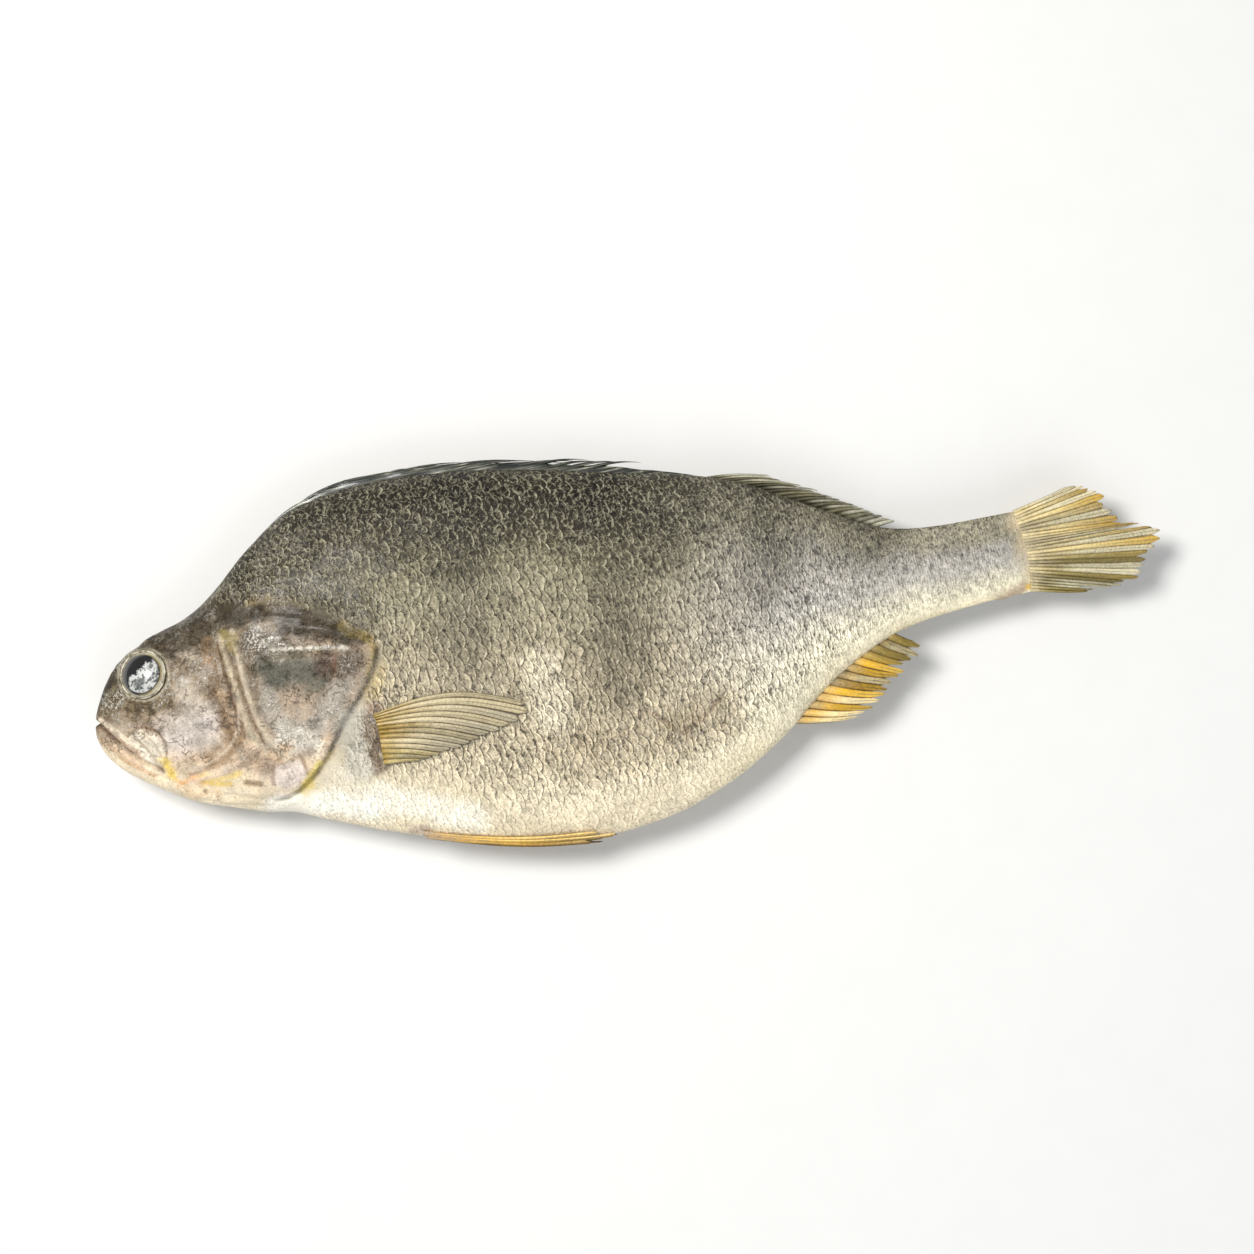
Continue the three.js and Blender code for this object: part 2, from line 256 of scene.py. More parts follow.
def ripple(x: np.ndarray, y: np.ndarray, size: float, seed: int) -> np.ndarray:
    """Gives a smooth, irregular value between about -1 and 1.

    Args:
        x: First coordinate.
        y: Second coordinate, in the same unit.
        size: Typical size of one swell, in that unit.
        seed: Picks one pattern of many.

    Returns:
        The value at each place.
    """
    draw = np.random.default_rng(seed)
    total = np.zeros_like(x, dtype=float)
    for _ in range(RIPPLE_WAVES):
        turn = draw.uniform(0, math.pi)
        pace = draw.uniform(0.6, 1.7) * 2 * math.pi / (size * 2.2)
        total += np.sin(pace * (x * math.cos(turn) + y * math.sin(turn)) + draw.uniform(0, 2 * math.pi))
    return total / RIPPLE_SUM


@dataclass(frozen=True)
class Path:
    """A smooth line on the flank through stated places. One place alone is a point."""

    points: Points

    def samples(self, steps: int = 7) -> np.ndarray:
        """Gives places along the line, several to each stretch between stated places.

        Args:
            steps: How many places each stretch gets.

        Returns:
            The places, one to a row.
        """
        p = np.array(self.points, float)
        if len(p) < 3:
            return p
        out = []
        for i in range(len(p) - 1):
            a, b = p[max(i - 1, 0)], p[i]
            c, d = p[i + 1], p[min(i + 2, len(p) - 1)]
            t = np.linspace(0, 1, steps, endpoint=False)[:, None]
            out.append(0.5 * (2 * b + (c - a) * t + (2 * a - 5 * b + 4 * c - d) * t**2
                              + (3 * b - a - 3 * c + d) * t**3))
        return np.vstack([*out, p[-1:]])

    def measure(self, x: np.ndarray, y: np.ndarray, reach: float) -> tuple[np.ndarray, ...]:
        """Measures how far places lie from the line.

        Args:
            x: Fish units from the snout.
            y: Fish units up from the axis.
            reach: Places further than this may be given any distance above it.

        Returns:
            The distance, the distance with a sign (above zero on the line's left), and the share of the
            line's length at which the nearest point lies.
        """
        line = self.samples()
        far = np.full(np.shape(x), OUT_OF_REACH)
        signed, share = far.copy(), np.zeros(np.shape(x))
        low, high = line.min(0) - reach, line.max(0) + reach
        near = np.nonzero((x > low[0]) & (x < high[0]) & (y > low[1]) & (y < high[1]))[0]
        if len(near) == 0:
            return far, signed, share
        px, py = x[near], y[near]
        if len(line) == 1:
            d = np.hypot(px - line[0, 0], py - line[0, 1])
            far[near] = d
            signed[near] = d
            share[near] = 0.5
            return far, signed, share
        best = np.full(len(near), OUT_OF_REACH)
        side = np.ones(len(near))
        at = np.zeros(len(near))
        lengths = np.hypot(*np.diff(line, axis=0).T)
        starts = np.concatenate([[0], np.cumsum(lengths)])
        for (ax, ay), (bx, by), size, start in zip(line[:-1], line[1:], lengths, starts[:-1]):
            dx, dy = bx - ax, by - ay
            t = np.clip(((px - ax) * dx + (py - ay) * dy) / max(size * size, 1e-9), 0, 1)
            d = np.hypot(px - ax - t * dx, py - ay - t * dy)
            closer = d < best
            best = np.where(closer, d, best)
            side = np.where(closer, np.sign(dx * (py - ay) - dy * (px - ax) + 1e-12), side)
            at = np.where(closer, start + t * size, at)
        far[near] = best
        signed[near] = best * side
        share[near] = at / starts[-1]
        return far, signed, share


# ---------------------------------------------------------------------------------------------------
# Shader arithmetic
# ---------------------------------------------------------------------------------------------------


class Wire:
    """An output of a shader node that takes part in Python arithmetic."""

    def __init__(self, graph: "Graph", socket: Any) -> None:
        """Keeps the graph that the output belongs to."""
        self.graph = graph
        self.socket = socket

    def out(self, name: str | int) -> "Wire":
        """Gives another output of the same node."""
        return Wire(self.graph, self.socket.node.outputs[name])

    def _math(self, operation: str, *values: Any) -> "Wire":
        """Adds a Math node."""
        return self.graph.add("ShaderNodeMath", {"operation": operation}, dict(enumerate(values)))

    def __add__(self, other: Any) -> "Wire":
        """Adds."""
        return self._math("ADD", self, other)

    __radd__ = __add__

    def __sub__(self, other: Any) -> "Wire":
        """Takes other away."""
        return self._math("SUBTRACT", self, other)

    def __rsub__(self, other: Any) -> "Wire":
        """Takes this away from other."""
        return self._math("SUBTRACT", other, self)

    def __mul__(self, other: Any) -> "Wire":
        """Multiplies."""
        return self._math("MULTIPLY", self, other)

    __rmul__ = __mul__

    def floor(self) -> "Wire":
        """Rounds down."""
        return self._math("FLOOR", self)

    def ceil(self) -> "Wire":
        """Rounds up."""
        return self._math("CEIL", self)

    def round(self) -> "Wire":
        """Rounds to the nearest whole number."""
        return self._math("ROUND", self)

    def sqrt(self) -> "Wire":
        """Takes the square root."""
        return self._math("SQRT", self)

    def abs(self) -> "Wire":
        """Drops the sign."""
        return self._math("ABSOLUTE", self)

    def min(self, other: Any) -> "Wire":
        """Gives the smaller one."""
        return self._math("MINIMUM", self, other)

    def max(self, other: Any) -> "Wire":
        """Gives the larger one."""
        return self._math("MAXIMUM", self, other)

    def veins(self, wide: float, thin: float) -> "Wire":
        """Turns a noise into lines, drawn where it passes through its middle value."""
        return (self - 0.5).abs().step(wide, thin)

    def below(self, other: Any) -> "Wire":
        """Gives 1 where this is less than other, and 0 elsewhere."""
        return self._math("LESS_THAN", self, other)

    def step(self, low: float, high: float) -> "Wire":
        """Rises smoothly from 0 at low to 1 at high. With low above high it falls instead.

        Args:
            low: The value at one end of the slope.
            high: The value at the other.

        Returns:
            The wire that does so.
        """
        if low > high:
            return 1 - self.step(high, low)
        return self.graph.add(
            "ShaderNodeMapRange", {"interpolation_type": "SMOOTHSTEP"}, {0: self, 1: low, 2: high}
        )


class Graph:
    """The node tree of one material, written as expressions."""

    def __init__(self, name: str) -> None:
        """Starts a material with nothing in it.

        Args:
            name: The material's name.
        """
        self.material = bpy.data.materials.new(name)
        self.material.use_nodes = True
        self.tree = self.material.node_tree
        self.tree.nodes.clear()

    def add(
        self,
        kind: str,
        settings: dict[str, Any] | None = None,
        inputs: dict[str | int, Any] | None = None,
        output: str | int = 0,
    ) -> Wire:
        """Adds a node.

        Args:
            kind: The node's type.
            settings: Its properties, set first. "stops" holds a ramp's (place, colour) pairs.
            inputs: A value or a wire for each named or numbered input.
            output: The output to give back.

        Returns:
            That output.
        """
        node = self.tree.nodes.new(kind)
        for key, value in (settings or {}).items():
            if key == "stops":
                self._set_stops(node.color_ramp, value)
            else:
                setattr(node, key, value)
        for key, value in (inputs or {}).items():
            socket = node.inputs[key]
            if isinstance(value, Wire):
                self.tree.links.new(value.socket, socket)
            elif isinstance(value, tuple) and len(socket.default_value) == 4:
                socket.default_value = (*value[:3], 1.0)
            else:
                socket.default_value = value
        return Wire(self, node.outputs[output] if len(node.outputs) else None)

    @staticmethod
    def _set_stops(ramp: Any, stops: Sequence[tuple[float, Colour]]) -> None:
        """Gives a ramp its stops.

        Args:
            ramp: The ramp.
            stops: The place and the colour of each stop.
        """
        while len(ramp.elements) < len(stops):
            ramp.elements.new(0.5)
        for element, (place, colour) in zip(ramp.elements, stops):
            element.position = place
            element.color = (*colour, 1.0)

    def mix(self, factor: Any, a: Any, b: Any) -> Wire:
        """Mixes two colours."""
        return self.add("ShaderNodeMix", {"data_type": "RGBA"}, {0: factor, 6: a, 7: b}, output=2)

    def scale(self, colour: Any, amount: Any) -> Wire:
        """Makes a colour lighter or darker by a factor."""
        return self.add("ShaderNodeVectorMath", {"operation": "SCALE"}, {0: colour, "Scale": amount})

    def attribute(self, name: str) -> Wire:
        """Reads a value that the mesh keeps at each point."""
        return self.add("ShaderNodeAttribute", {"attribute_name": name}, output="Fac")

    def noise(self, where: Any, scale: float, detail: float = 3.0, rough: float = 0.55) -> Wire:
        """Gives a smooth random value around 0.5."""
        inputs = {"Vector": where, "Scale": scale, "Detail": detail, "Roughness": rough}
        return self.add("ShaderNodeTexNoise", {}, inputs)

    def grit(self, where: Any, rough: float = 0.6) -> Wire:
        """Gives the finest grain, around 0.5."""
        return self.noise(where, GRIT, 3.0, rough)

    def here(self) -> Wire:
        """Gives the place on the object, in metres."""
        return self.add("ShaderNodeTexCoord", output="Object")

    def split(self, vector: Wire) -> tuple[Wire, Wire]:
        """Gives the first two parts of a vector."""
        parts = self.add("ShaderNodeSeparateXYZ", inputs={0: vector})
        return parts.out("X"), parts.out("Y")

    def random(self, a: Wire, b: Any) -> Wire:
        """Gives one random value for each pair of whole numbers."""
        key = self.add("ShaderNodeCombineXYZ", inputs={0: a, 1: b})
        return self.add("ShaderNodeTexWhiteNoise", {"noise_dimensions": "3D"}, {"Vector": key})

    def finish(self, bump: Wire | None, bump_depth: float, **inputs: Any) -> bpy.types.Material:
        """Ends the material in one surface shader.

        Args:
            bump: Height of the fine relief, or None.
            bump_depth: Metres that a height of 1 stands up.
            inputs: The shader's inputs, with underscores for spaces.

        Returns:
            The material.
        """
        feeds = {key.replace("_", " "): value for key, value in inputs.items()}
        if bump is not None:
            feeds["Normal"] = self.add(
                "ShaderNodeBump", {}, {"Strength": 1.0, "Distance": bump_depth, "Height": bump}
            )
        shader = self.add("ShaderNodeBsdfPrincipled", {}, feeds)
        self.add("ShaderNodeOutputMaterial", {}, {0: shader})
        return self.material


# ---------------------------------------------------------------------------------------------------
# Finishes
# ---------------------------------------------------------------------------------------------------


@dataclass(frozen=True)
class SkinFinish:
    """Dried skin: overlapping scales on the trunk, wrinkled bare skin on the head."""

    reach: float = 0.64  # how far a scale's round edge lies from its middle, in scale lengths
    # how much the scales' free edges brighten: partly their paler colour, partly a painted highlight
    rim_gain: float = 0.72
    shadow_loss: float = 0.75
    scale_spread: float = 0.3
    thread_gain: float = 1.05
    thread_lift: Colour = (0.28, 0.26, 0.18)
    # colour of the pale specks painted as glints on the wet head
    glint: Colour = (0.74, 0.68, 0.58)
    line: Colour = (0.10, 0.07, 0.038)  # the thin dark lines between scales and the painted shade behind their free edges, low on the flanks
    painted_rim_glint: Colour = (0.88, 0.83, 0.70)  # painted highlights: bright specks along the scales' free edges
    bump_depth: float = 0.00042

    def lattice(self, graph: Graph, u: Wire, v: Wire, shift: float) -> tuple[Wire, Wire, Wire, Wire]:
        """Finds the scale of one set of rows that reaches back over a place.

        Args:
            graph: The material's nodes; not used.
            u: Place along the rows, in scales.
            v: Place across the rows, in scales.
            shift: 0 for one set of rows and 0.5 for the set between them.

        Returns:
            The scale's middle, its row, how far off its row the place lies, and how far ahead of the
            scale's free edge.
        """
        row = (v - shift).round()
        across = v - shift - row
        edge = (self.reach**2 - across * across).max(0.0).sqrt()
        ahead = u - shift - edge
        middle = ahead.ceil()
        return middle + shift, row + shift, across, middle - ahead

    def material(self) -> bpy.types.Material:
        """Makes the skin.

        Returns:
            The material.
        """
        g = Graph("dried_skin")
        here = g.here()
        u, v = g.split(g.add("ShaderNodeUVMap", {"uv_map": "scales"}))
        tint = g.add("ShaderNodeAttribute", {"attribute_name": "tint"}, output="Color")
        scaly, net, bare, glint = (g.attribute(name) for name in ("scaly", "net", "bare", "glint"))

        # The scale that lies on top here, from the two sets of rows.
        middle_a, row_a, across_a, ahead_a = self.lattice(g, u, v, 0.0)
        middle_b, row_b, across_b, ahead_b = self.lattice(g, u, v, 0.5)
        top = middle_a.below(middle_b)
        ahead = ahead_b + (ahead_a - ahead_b) * top
        across = across_b + (across_a - across_b) * top
        middle = middle_b + (middle_a - middle_b) * top
        row = row_b + (row_a - row_b) * top
        behind = (1 - ahead_a).min(1 - ahead_b)
        chance = g.random(middle, row)

        # Grain of several sizes, and the rims, painted shadows and dots of the scales; the rims are partly
        # paler scale edges and partly a painted highlight.
        grit = g.grit(here, 0.7)
        lean = {"Vector": here, "Rotation": (0, 0, 0.3), "Scale": (1.0, 0.4, 1.0)}
        strokes = g.noise(g.add("ShaderNodeMapping", {}, lean), 1150, 2.0, 0.5)
        patchy = g.noise(here, 620, 3.0, 0.65)
        broad = g.noise(here, 45, 4.0, 0.6)
        broken = patchy.step(0.40, 0.58)
        # Paler free edges of the scales: partly their own colour, partly a painted highlight.
        rim = ahead.step(0.0, 0.03) * ahead.step(0.2, 0.07) * (0.1 + 1.1 * broken)
        # Painted shade just behind each scale's free edge.
        shadow = behind.step(0.105, 0.015) * (0.35 + 0.65 * grit.step(0.64, 0.4))
        dot = ((ahead - 0.55) * (ahead - 0.55) + across * across).sqrt().step(0.13, 0.05)
        dot = dot * chance.below(0.4)
        scales = rim * self.rim_gain - shadow * self.shadow_loss + (chance - 0.5) * self.scale_spread
        scales = scales - dot * 0.45 - strokes.step(0.54, 0.62) * 0.5 + strokes.step(0.46, 0.38) * 0.5
        fine = (grit - 0.5) * 2.4 + (patchy - 0.5) * 0.8 + (broad - 0.5) * 0.4
        colour = g.scale(tint, (1.0 + scaly * scales + fine * (0.3 + 0.7 * scaly)).max(0.15))

        # Thin brown lines and painted shade between the scales low on the flanks, and pale threads on the
        # back.
        curl = g.noise(here, 560, 2.0, 0.5).veins(0.045, 0.012) * patchy.step(0.36, 0.56)
        dark_curl = g.noise(here, 690, 2.0, 0.5).veins(0.04, 0.01) * broken
        brown = dark_curl.max(shadow) * scaly * (0.8 - 0.68 * net)
        colour = g.mix(brown.min(1.0), colour, self.line)
        threads = (rim * (0.2 + 1.0 * chance)).max(curl * 0.8) * net * scaly
        lit = {0: tint, 1: (self.thread_gain,) * 3, 2: self.thread_lift}
        lit_colour = g.add("ShaderNodeVectorMath", {"operation": "MULTIPLY_ADD"}, lit)
        colour = g.mix(threads.min(1.0), colour, lit_colour)
        # Painted highlights: bright specks along the scales' free edges.
        painted_rim_glint = rim * grit.step(0.53, 0.63) * scaly * (0.95 - 0.6 * net)
        colour = g.mix(painted_rim_glint.min(1.0) * 0.6, colour, self.painted_rim_glint)

        # Wrinkles and mottling on the bare skin of the head, and pale sparks painted on it as glints.
        wrinkle = g.noise(here, 380, 4.0, 0.6)
        where = g.noise(here, 140, 3.0, 0.6)
        line = wrinkle.veins(0.03, 0.006) * bare * where.step(0.46, 0.6)
        colour = g.scale(colour, 1 - line * 0.4)
        mottle = g.noise(here, 230, 5.0, 0.72)
        colour = g.scale(colour, 1 + bare * ((mottle - 0.5) * 2.4))
        # Pale threads and specks: painted glints where the wet skin would catch the light.
        thread = g.noise(here, 700, 3.0, 0.6).veins(0.04, 0.01)
        spark = g.noise(here, 1150, 4.0, 0.7).step(0.52, 0.6).max(thread)
        cluster = where.step(0.58, 0.40)
        sparks = (spark * cluster * glint).min(1.0)
        colour = g.mix(sparks * 0.75, colour, self.glint)
        specks = g.noise(here, 1300, 2.0, 0.5).step(0.63, 0.7)
        colour = g.scale(colour, 1 - specks * (0.35 + 0.2 * bare))

        # Sheen and fine relief.
        wet = g.noise(here, 180, 4.0, 0.6).step(0.42, 0.6)
        rough = 0.62 - 0.16 * wet - 0.08 * bare - 0.15 * sparks
        relief = scaly * ((1 - ahead) * 0.4 + rim * 0.35 - shadow * 0.4) + grit * 0.3
        relief = relief + bare * (mottle * 1.2 + wrinkle * 0.8 - line * 0.6 + sparks * 0.5)
        return g.finish(
            relief, self.bump_depth, Base_Color=colour, Roughness=rough,
            Specular_IOR_Level=0.22, Coat_Weight=(0.03 + 0.1 * bare * wet + 0.14 * sparks).min(1.0),
            Coat_Roughness=0.12,
        )


@dataclass(frozen=True)
class FinFinish:
    """Dried fin: translucent rays with thinner skin between them."""

    name: str
    root: Colour
    middle: Colour
    tip: Colour
    groove: Colour
    accent: Colour
    far: Colour  # colour of the rays at the fin's far side
    far_start: float = 1.0  # place across the fin at which that colour begins
    accent_share: float = 0.3
    groove_strength: float = 0.85
    ray_spread: float = 0.5
    roughness: float = 0.42

    def material(self, rays: int) -> bpy.types.Material:
        """Makes the fin's skin and rays.

        Args:
            rays: How many rays the fin has.

        Returns:
            The material.
        """
        g = Graph(self.name)
        here = g.here()
        u, v = g.split(g.add("ShaderNodeUVMap", {"uv_map": "rays"}))
        ray = u.floor()
        off_centre = (u - ray - 0.5).abs()
        chance = g.random(ray, 3.0)
        other = g.random(ray, 7.0)
        wander = g.noise(here, 420, 3.0, 0.6)
        along = (v + (wander - 0.5) * 0.3 + (other - 0.5) * 0.24).max(0.0).min(1.0)
        stops = [(0.0, self.root), (0.45, self.middle), (1.0, self.tip)]
        colour = g.add("ShaderNodeValToRGB", {"stops": stops}, {0: along})
        side = (u * (1 / rays) + (wander - 0.5) * 0.16).step(self.far_start, self.far_start + 0.12)
        colour = g.mix(side * v.step(0.0, 0.35) * 0.85, colour, self.far)
        accent = chance.below(self.accent_share) * v.step(0.12, 0.5)
        colour = g.mix(accent * 0.8, colour, self.accent)
        streak = g.noise(here, 150, 2.0)
        groove = off_centre.step(0.34, 0.46) * (0.25 + 1.3 * streak)
        fork = off_centre.step(0.12, 0.03) * v.step(0.4, 0.7) * 0.6
        colour = g.mix(groove.max(fork).min(1.0) * self.groove_strength, colour, self.groove)
        joints = v * 34 + chance * 9
        joint = (joints - joints.floor() - 0.5).abs().step(0.36, 0.5) * v.step(0.2, 0.5)
        grit = g.grit(here)
        tone = 1 + (other - 0.5) * self.ray_spread + (grit - 0.5) * 1.2 + (wander - 0.5) * 0.6
        colour = g.scale(colour, (tone - joint * 0.18).max(0.15))
        rough = self.roughness + (wander - 0.5) * 0.3
        relief = (1 - off_centre * 2) * 0.9 + grit * 0.35 - joint * 0.2 - fork * 0.4
        return g.finish(
            relief, 0.0004, Base_Color=colour, Roughness=rough,
            Specular_IOR_Level=0.35, Coat_Weight=0.15, Coat_Roughness=0.25,
        )


@dataclass(frozen=True)
class EyeFinish:
    """Dried eye: a black pupil, a crumpled cornea low on one side, silvery partly of itself and partly by a
    painted reflection, a dull golden iris, and a pale edge that is partly a painted highlight.
    """

    dark: Colour = (0.008, 0.007, 0.006)
    # pale parts of the crumpled cornea, partly its own silver, partly a painted reflection
    film_and_reflection: Colour = (0.56, 0.56, 0.54)
    film_dark: Colour = (0.07, 0.075, 0.07)
    iris: Colour = (0.30, 0.24, 0.12)
    # the pale edge of the ball, partly its own colour and partly a painted highlight
    rim: Colour = (0.70, 0.66, 0.54)

    def material(self) -> bpy.types.Material:
        """Makes the eyeball.

        Returns:
            The material.
        """
        g = Graph("dried_eye")
        here = g.here()
        p, q = g.split(g.add("ShaderNodeUVMap", {"uv_map": "iris"}))
        crumple = g.noise(here, 620, 4.0, 0.7)
        fine = g.grit(here)
        radius = (p * p + q * q).sqrt() + (crumple - 0.5) * 0.05
        lower = (p * 0.5 - q * 0.86 + (crumple - 0.5) * 0.7).step(-0.2, -0.12)
        right = (p + 0.62 + (crumple - 0.5) * 0.3).step(0.0, 0.08)
        # Crumpled cornea low on one side: silvery partly of itself and partly by a painted reflection.
        film_and_reflection = lower * right * radius.step(0.80, 0.76)
        pale = (crumple + (fine - 0.5) * 0.5).step(0.42, 0.56)
        blot = ((p + 0.12) * (p + 0.12) * 2 + (q + 0.34) * (q + 0.34) * 5 + (fine - 0.5) * 0.5)
        pale = pale * (0.25 + 0.75 * blot.step(0.08, 0.26))
        colour = g.mix(film_and_reflection, self.dark, g.mix(pale, self.film_dark, self.film_and_reflection))
        golden = radius.step(0.79, 0.84) * (p + 0.3).step(-0.3, 0.6)
        colour = g.mix(golden, colour, g.scale(self.iris, 0.2 + 1.5 * crumple))
        # Pale edge of the ball: partly its own colour, partly a painted highlight.
        rim = radius.step(0.86, 0.90) * radius.step(0.98, 0.94) * (0.25 + 0.9 * fine)
        colour = g.mix(rim.min(1.0), colour, self.rim)
        relief = crumple * (0.1 + 0.9 * film_and_reflection) + fine * 0.1
        return g.finish(
            relief, 0.0004, Base_Color=colour, Roughness=0.1 + 0.2 * rim + 0.15 * film_and_reflection,
            Specular_IOR_Level=0.5, Coat_Weight=0.7, Coat_Roughness=0.06,
        )


@dataclass(frozen=True)
class RimFinish:
    """The pale horny ring around the eye."""

    pale: Colour = (0.62, 0.57, 0.44)
    brown: Colour = (0.10, 0.075, 0.035)

    def material(self) -> bpy.types.Material:
        """Makes the ring.

        Returns:
            The material.
        """
        g = Graph("eye_ring_skin")
        here = g.here()
        soft = g.noise(here, 300, 4.0, 0.65)
        colour = g.mix(soft.step(0.38, 0.62), self.brown, self.pale)
        return g.finish(
            soft, 0.0005, Base_Color=colour, Roughness=0.25 + 0.3 * soft,
            Coat_Weight=0.4, Coat_Roughness=0.12,
        )


@dataclass(frozen=True)
class FloorFinish:
    """Plain pale ground."""

    colour: Colour = (0.80, 0.795, 0.78)

    def material(self) -> bpy.types.Material:
        """Makes the ground.

        Returns:
            The material.
        """
        g = Graph("pale_ground")
        grain = g.noise(g.here(), 60, 3.0)
        colour = g.scale(self.colour, 0.98 + 0.04 * grain)
        return g.finish(None, 0.0, Base_Color=colour, Roughness=0.75 + 0.05 * grain)


GOLD_FIN = FinFinish(
    "golden_fin", root=(0.54, 0.41, 0.22), middle=(0.66, 0.38, 0.03), tip=(0.64, 0.42, 0.08),
    groove=(0.075, 0.042, 0.008), accent=(0.86, 0.74, 0.44), accent_share=0.3, ray_spread=0.8,
    far=(0.30, 0.23, 0.06), far_start=0.64, groove_strength=0.95,
)
CREAM_FIN = FinFinish(
    "cream_fin", root=(0.44, 0.29, 0.06), middle=(0.66, 0.56, 0.36), tip=(0.42, 0.37, 0.26),
    groove=(0.06, 0.042, 0.02), accent=(0.50, 0.42, 0.25), ray_spread=0.35,
    far=(0.66, 0.53, 0.22), far_start=0.72, groove_strength=0.95,
)
TAIL_FIN = FinFinish(
    "tail_fin", root=(0.58, 0.49, 0.30), middle=(0.76, 0.62, 0.31), tip=(0.56, 0.36, 0.07),
    groove=(0.11, 0.075, 0.025), accent=(0.80, 0.74, 0.52), accent_share=0.34,
    far=(0.24, 0.19, 0.05), far_start=0.52,
)
DARK_FIN = FinFinish(
    "dark_fin", root=(0.05, 0.044, 0.026), middle=(0.17, 0.152, 0.088), tip=(0.38, 0.35, 0.22),
    groove=(0.014, 0.012, 0.008), accent=(0.66, 0.63, 0.48), accent_share=0.42, roughness=0.34,
    far=(0.46, 0.44, 0.34), far_start=0.8,
)
BELLY_FIN = FinFinish(
    "belly_fin", root=(0.46, 0.35, 0.24), middle=(0.70, 0.40, 0.035), tip=(0.42, 0.30, 0.10),
    groove=(0.08, 0.04, 0.008), accent=(0.84, 0.60, 0.22), accent_share=0.3,
    far=(0.20, 0.115, 0.03), far_start=0.72, groove_strength=0.95,
)


# ---------------------------------------------------------------------------------------------------
# Making pieces
# ---------------------------------------------------------------------------------------------------


def add_piece(name: str, bm: bmesh.types.BMesh, material: bpy.types.Material, node: str, slot: str) -> Any:
    """Turns a bmesh into a smooth piece that rides with the fish and stands for a CAD node.

    Args:
        name: The piece's name.
        bm: Its shape, in the row frame. It is freed.
        material: Its finish.
        node: The CAD node that it stands for.
        slot: The piece's material slot; not used.

    Returns:
        The object.
    """
    mesh = bpy.data.meshes.new(name)
    bm.to_mesh(mesh)
    bm.free()
    mesh.materials.append(material)
    mesh.shade_smooth()
    piece = bpy.data.objects.new(name, mesh)
    bpy.context.scene.collection.objects.link(piece)
    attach(piece, "root")
    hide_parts(node)
    LOG.info("%s: %d faces", name, len(mesh.polygons))
    return piece


def read_points(mesh: bpy.types.Mesh) -> np.ndarray:
    """Gives a mesh's points as an array.

    Args:
        mesh: The mesh.

    Returns:
        One point to a row.
    """
    co = np.empty(len(mesh.vertices) * 3, np.float32)
    mesh.vertices.foreach_get("co", co)
    return co.reshape(-1, 3).astype(float)


def write_points(mesh: bpy.types.Mesh, points: np.ndarray) -> None:
    """Moves a mesh's points to where an array says."""
    mesh.vertices.foreach_set("co", points.astype(np.float32).ravel())
    mesh.update()


def store(mesh: bpy.types.Mesh, name: str, values: np.ndarray) -> None:
    """Keeps a value, or a colour, at each point of a mesh.

    Args:
        mesh: The mesh.
        name: The name that the finish reads it by.
        values: One number, or one row of three, for each point.
    """
    if values.ndim == 1:
        kept = mesh.attributes.new(name, "FLOAT", "POINT")
        kept.data.foreach_set("value", values.astype(np.float32))
    else:
        kept = mesh.attributes.new(name, "FLOAT_COLOR", "POINT")
        full = np.hstack([values, np.ones((len(values), 1))])
        kept.data.foreach_set("color", full.astype(np.float32).ravel())


def store_uv(mesh: bpy.types.Mesh, name: str, corners: np.ndarray) -> None:
    """Keeps flat coordinates at each corner of a mesh."""
    layer = mesh.uv_layers.new(name=name)
    layer.data.foreach_set("uv", corners.astype(np.float32).ravel())


def corner_points(mesh: bpy.types.Mesh) -> np.ndarray:
    """Gives the point that each corner of a mesh stands on.

    Args:
        mesh: The mesh.

    Returns:
        The number of a point, for each corner.
    """
    index = np.empty(len(mesh.loops), np.int32)
    mesh.loops.foreach_get("vertex_index", index)
    return index


# ---------------------------------------------------------------------------------------------------
# The body
# ---------------------------------------------------------------------------------------------------


@dataclass(frozen=True)
class Fold:
    """A ridge along a line on the skin, or a furrow where its height is below zero.

    Heights are in millimetres and widths in fish units.
    """

    points: Points
    height: float
    width: float
    taper: float = 0.12

    def lift(self, x: np.ndarray, y: np.ndarray) -> np.ndarray:
        """Gives how far the skin stands up at each place, in millimetres.

        Args:
            x: Fish units from the snout.
            y: Fish units up from the body's axis.

        Returns:
            The height at each place.
        """
        distance, _, share = Path(self.points).measure(x, y, 3 * self.width)
        ends = smoothstep(0, self.taper, share) * smoothstep(0, self.taper, 1 - share)
        fade = 1.0 if len(self.points) == 1 else ends
        return self.height * hump(distance, self.width) * fade


@dataclass(frozen=True)
class Mark:
    """Colour laid on the skin around a line or a point, fading towards its edge."""

    points: Points
    radius: float
    colour: Colour
    strength: float
    soft: float = 0.75
    glint: float = 0.4  # how thickly pale specks, painted glints, lie on it

    @property
    def wanders(self) -> bool:
        """Tells whether the mark is broad enough for its edge to wander."""
        return self.radius > 0.7

    def cover(self, x: np.ndarray, y: np.ndarray) -> np.ndarray:
        """Gives how much of the mark's colour lies at each place, 0 to 1.

        Args:
            x: Fish units from the snout.
            y: Fish units up from the body's axis.

        Returns:
            The share at each place.
        """
        distance, _, _ = Path(self.points).measure(x, y, self.radius * 1.2)
        inner = self.radius * (1 - self.soft)
        return self.strength * (1 - smoothstep(inner, self.radius, distance))


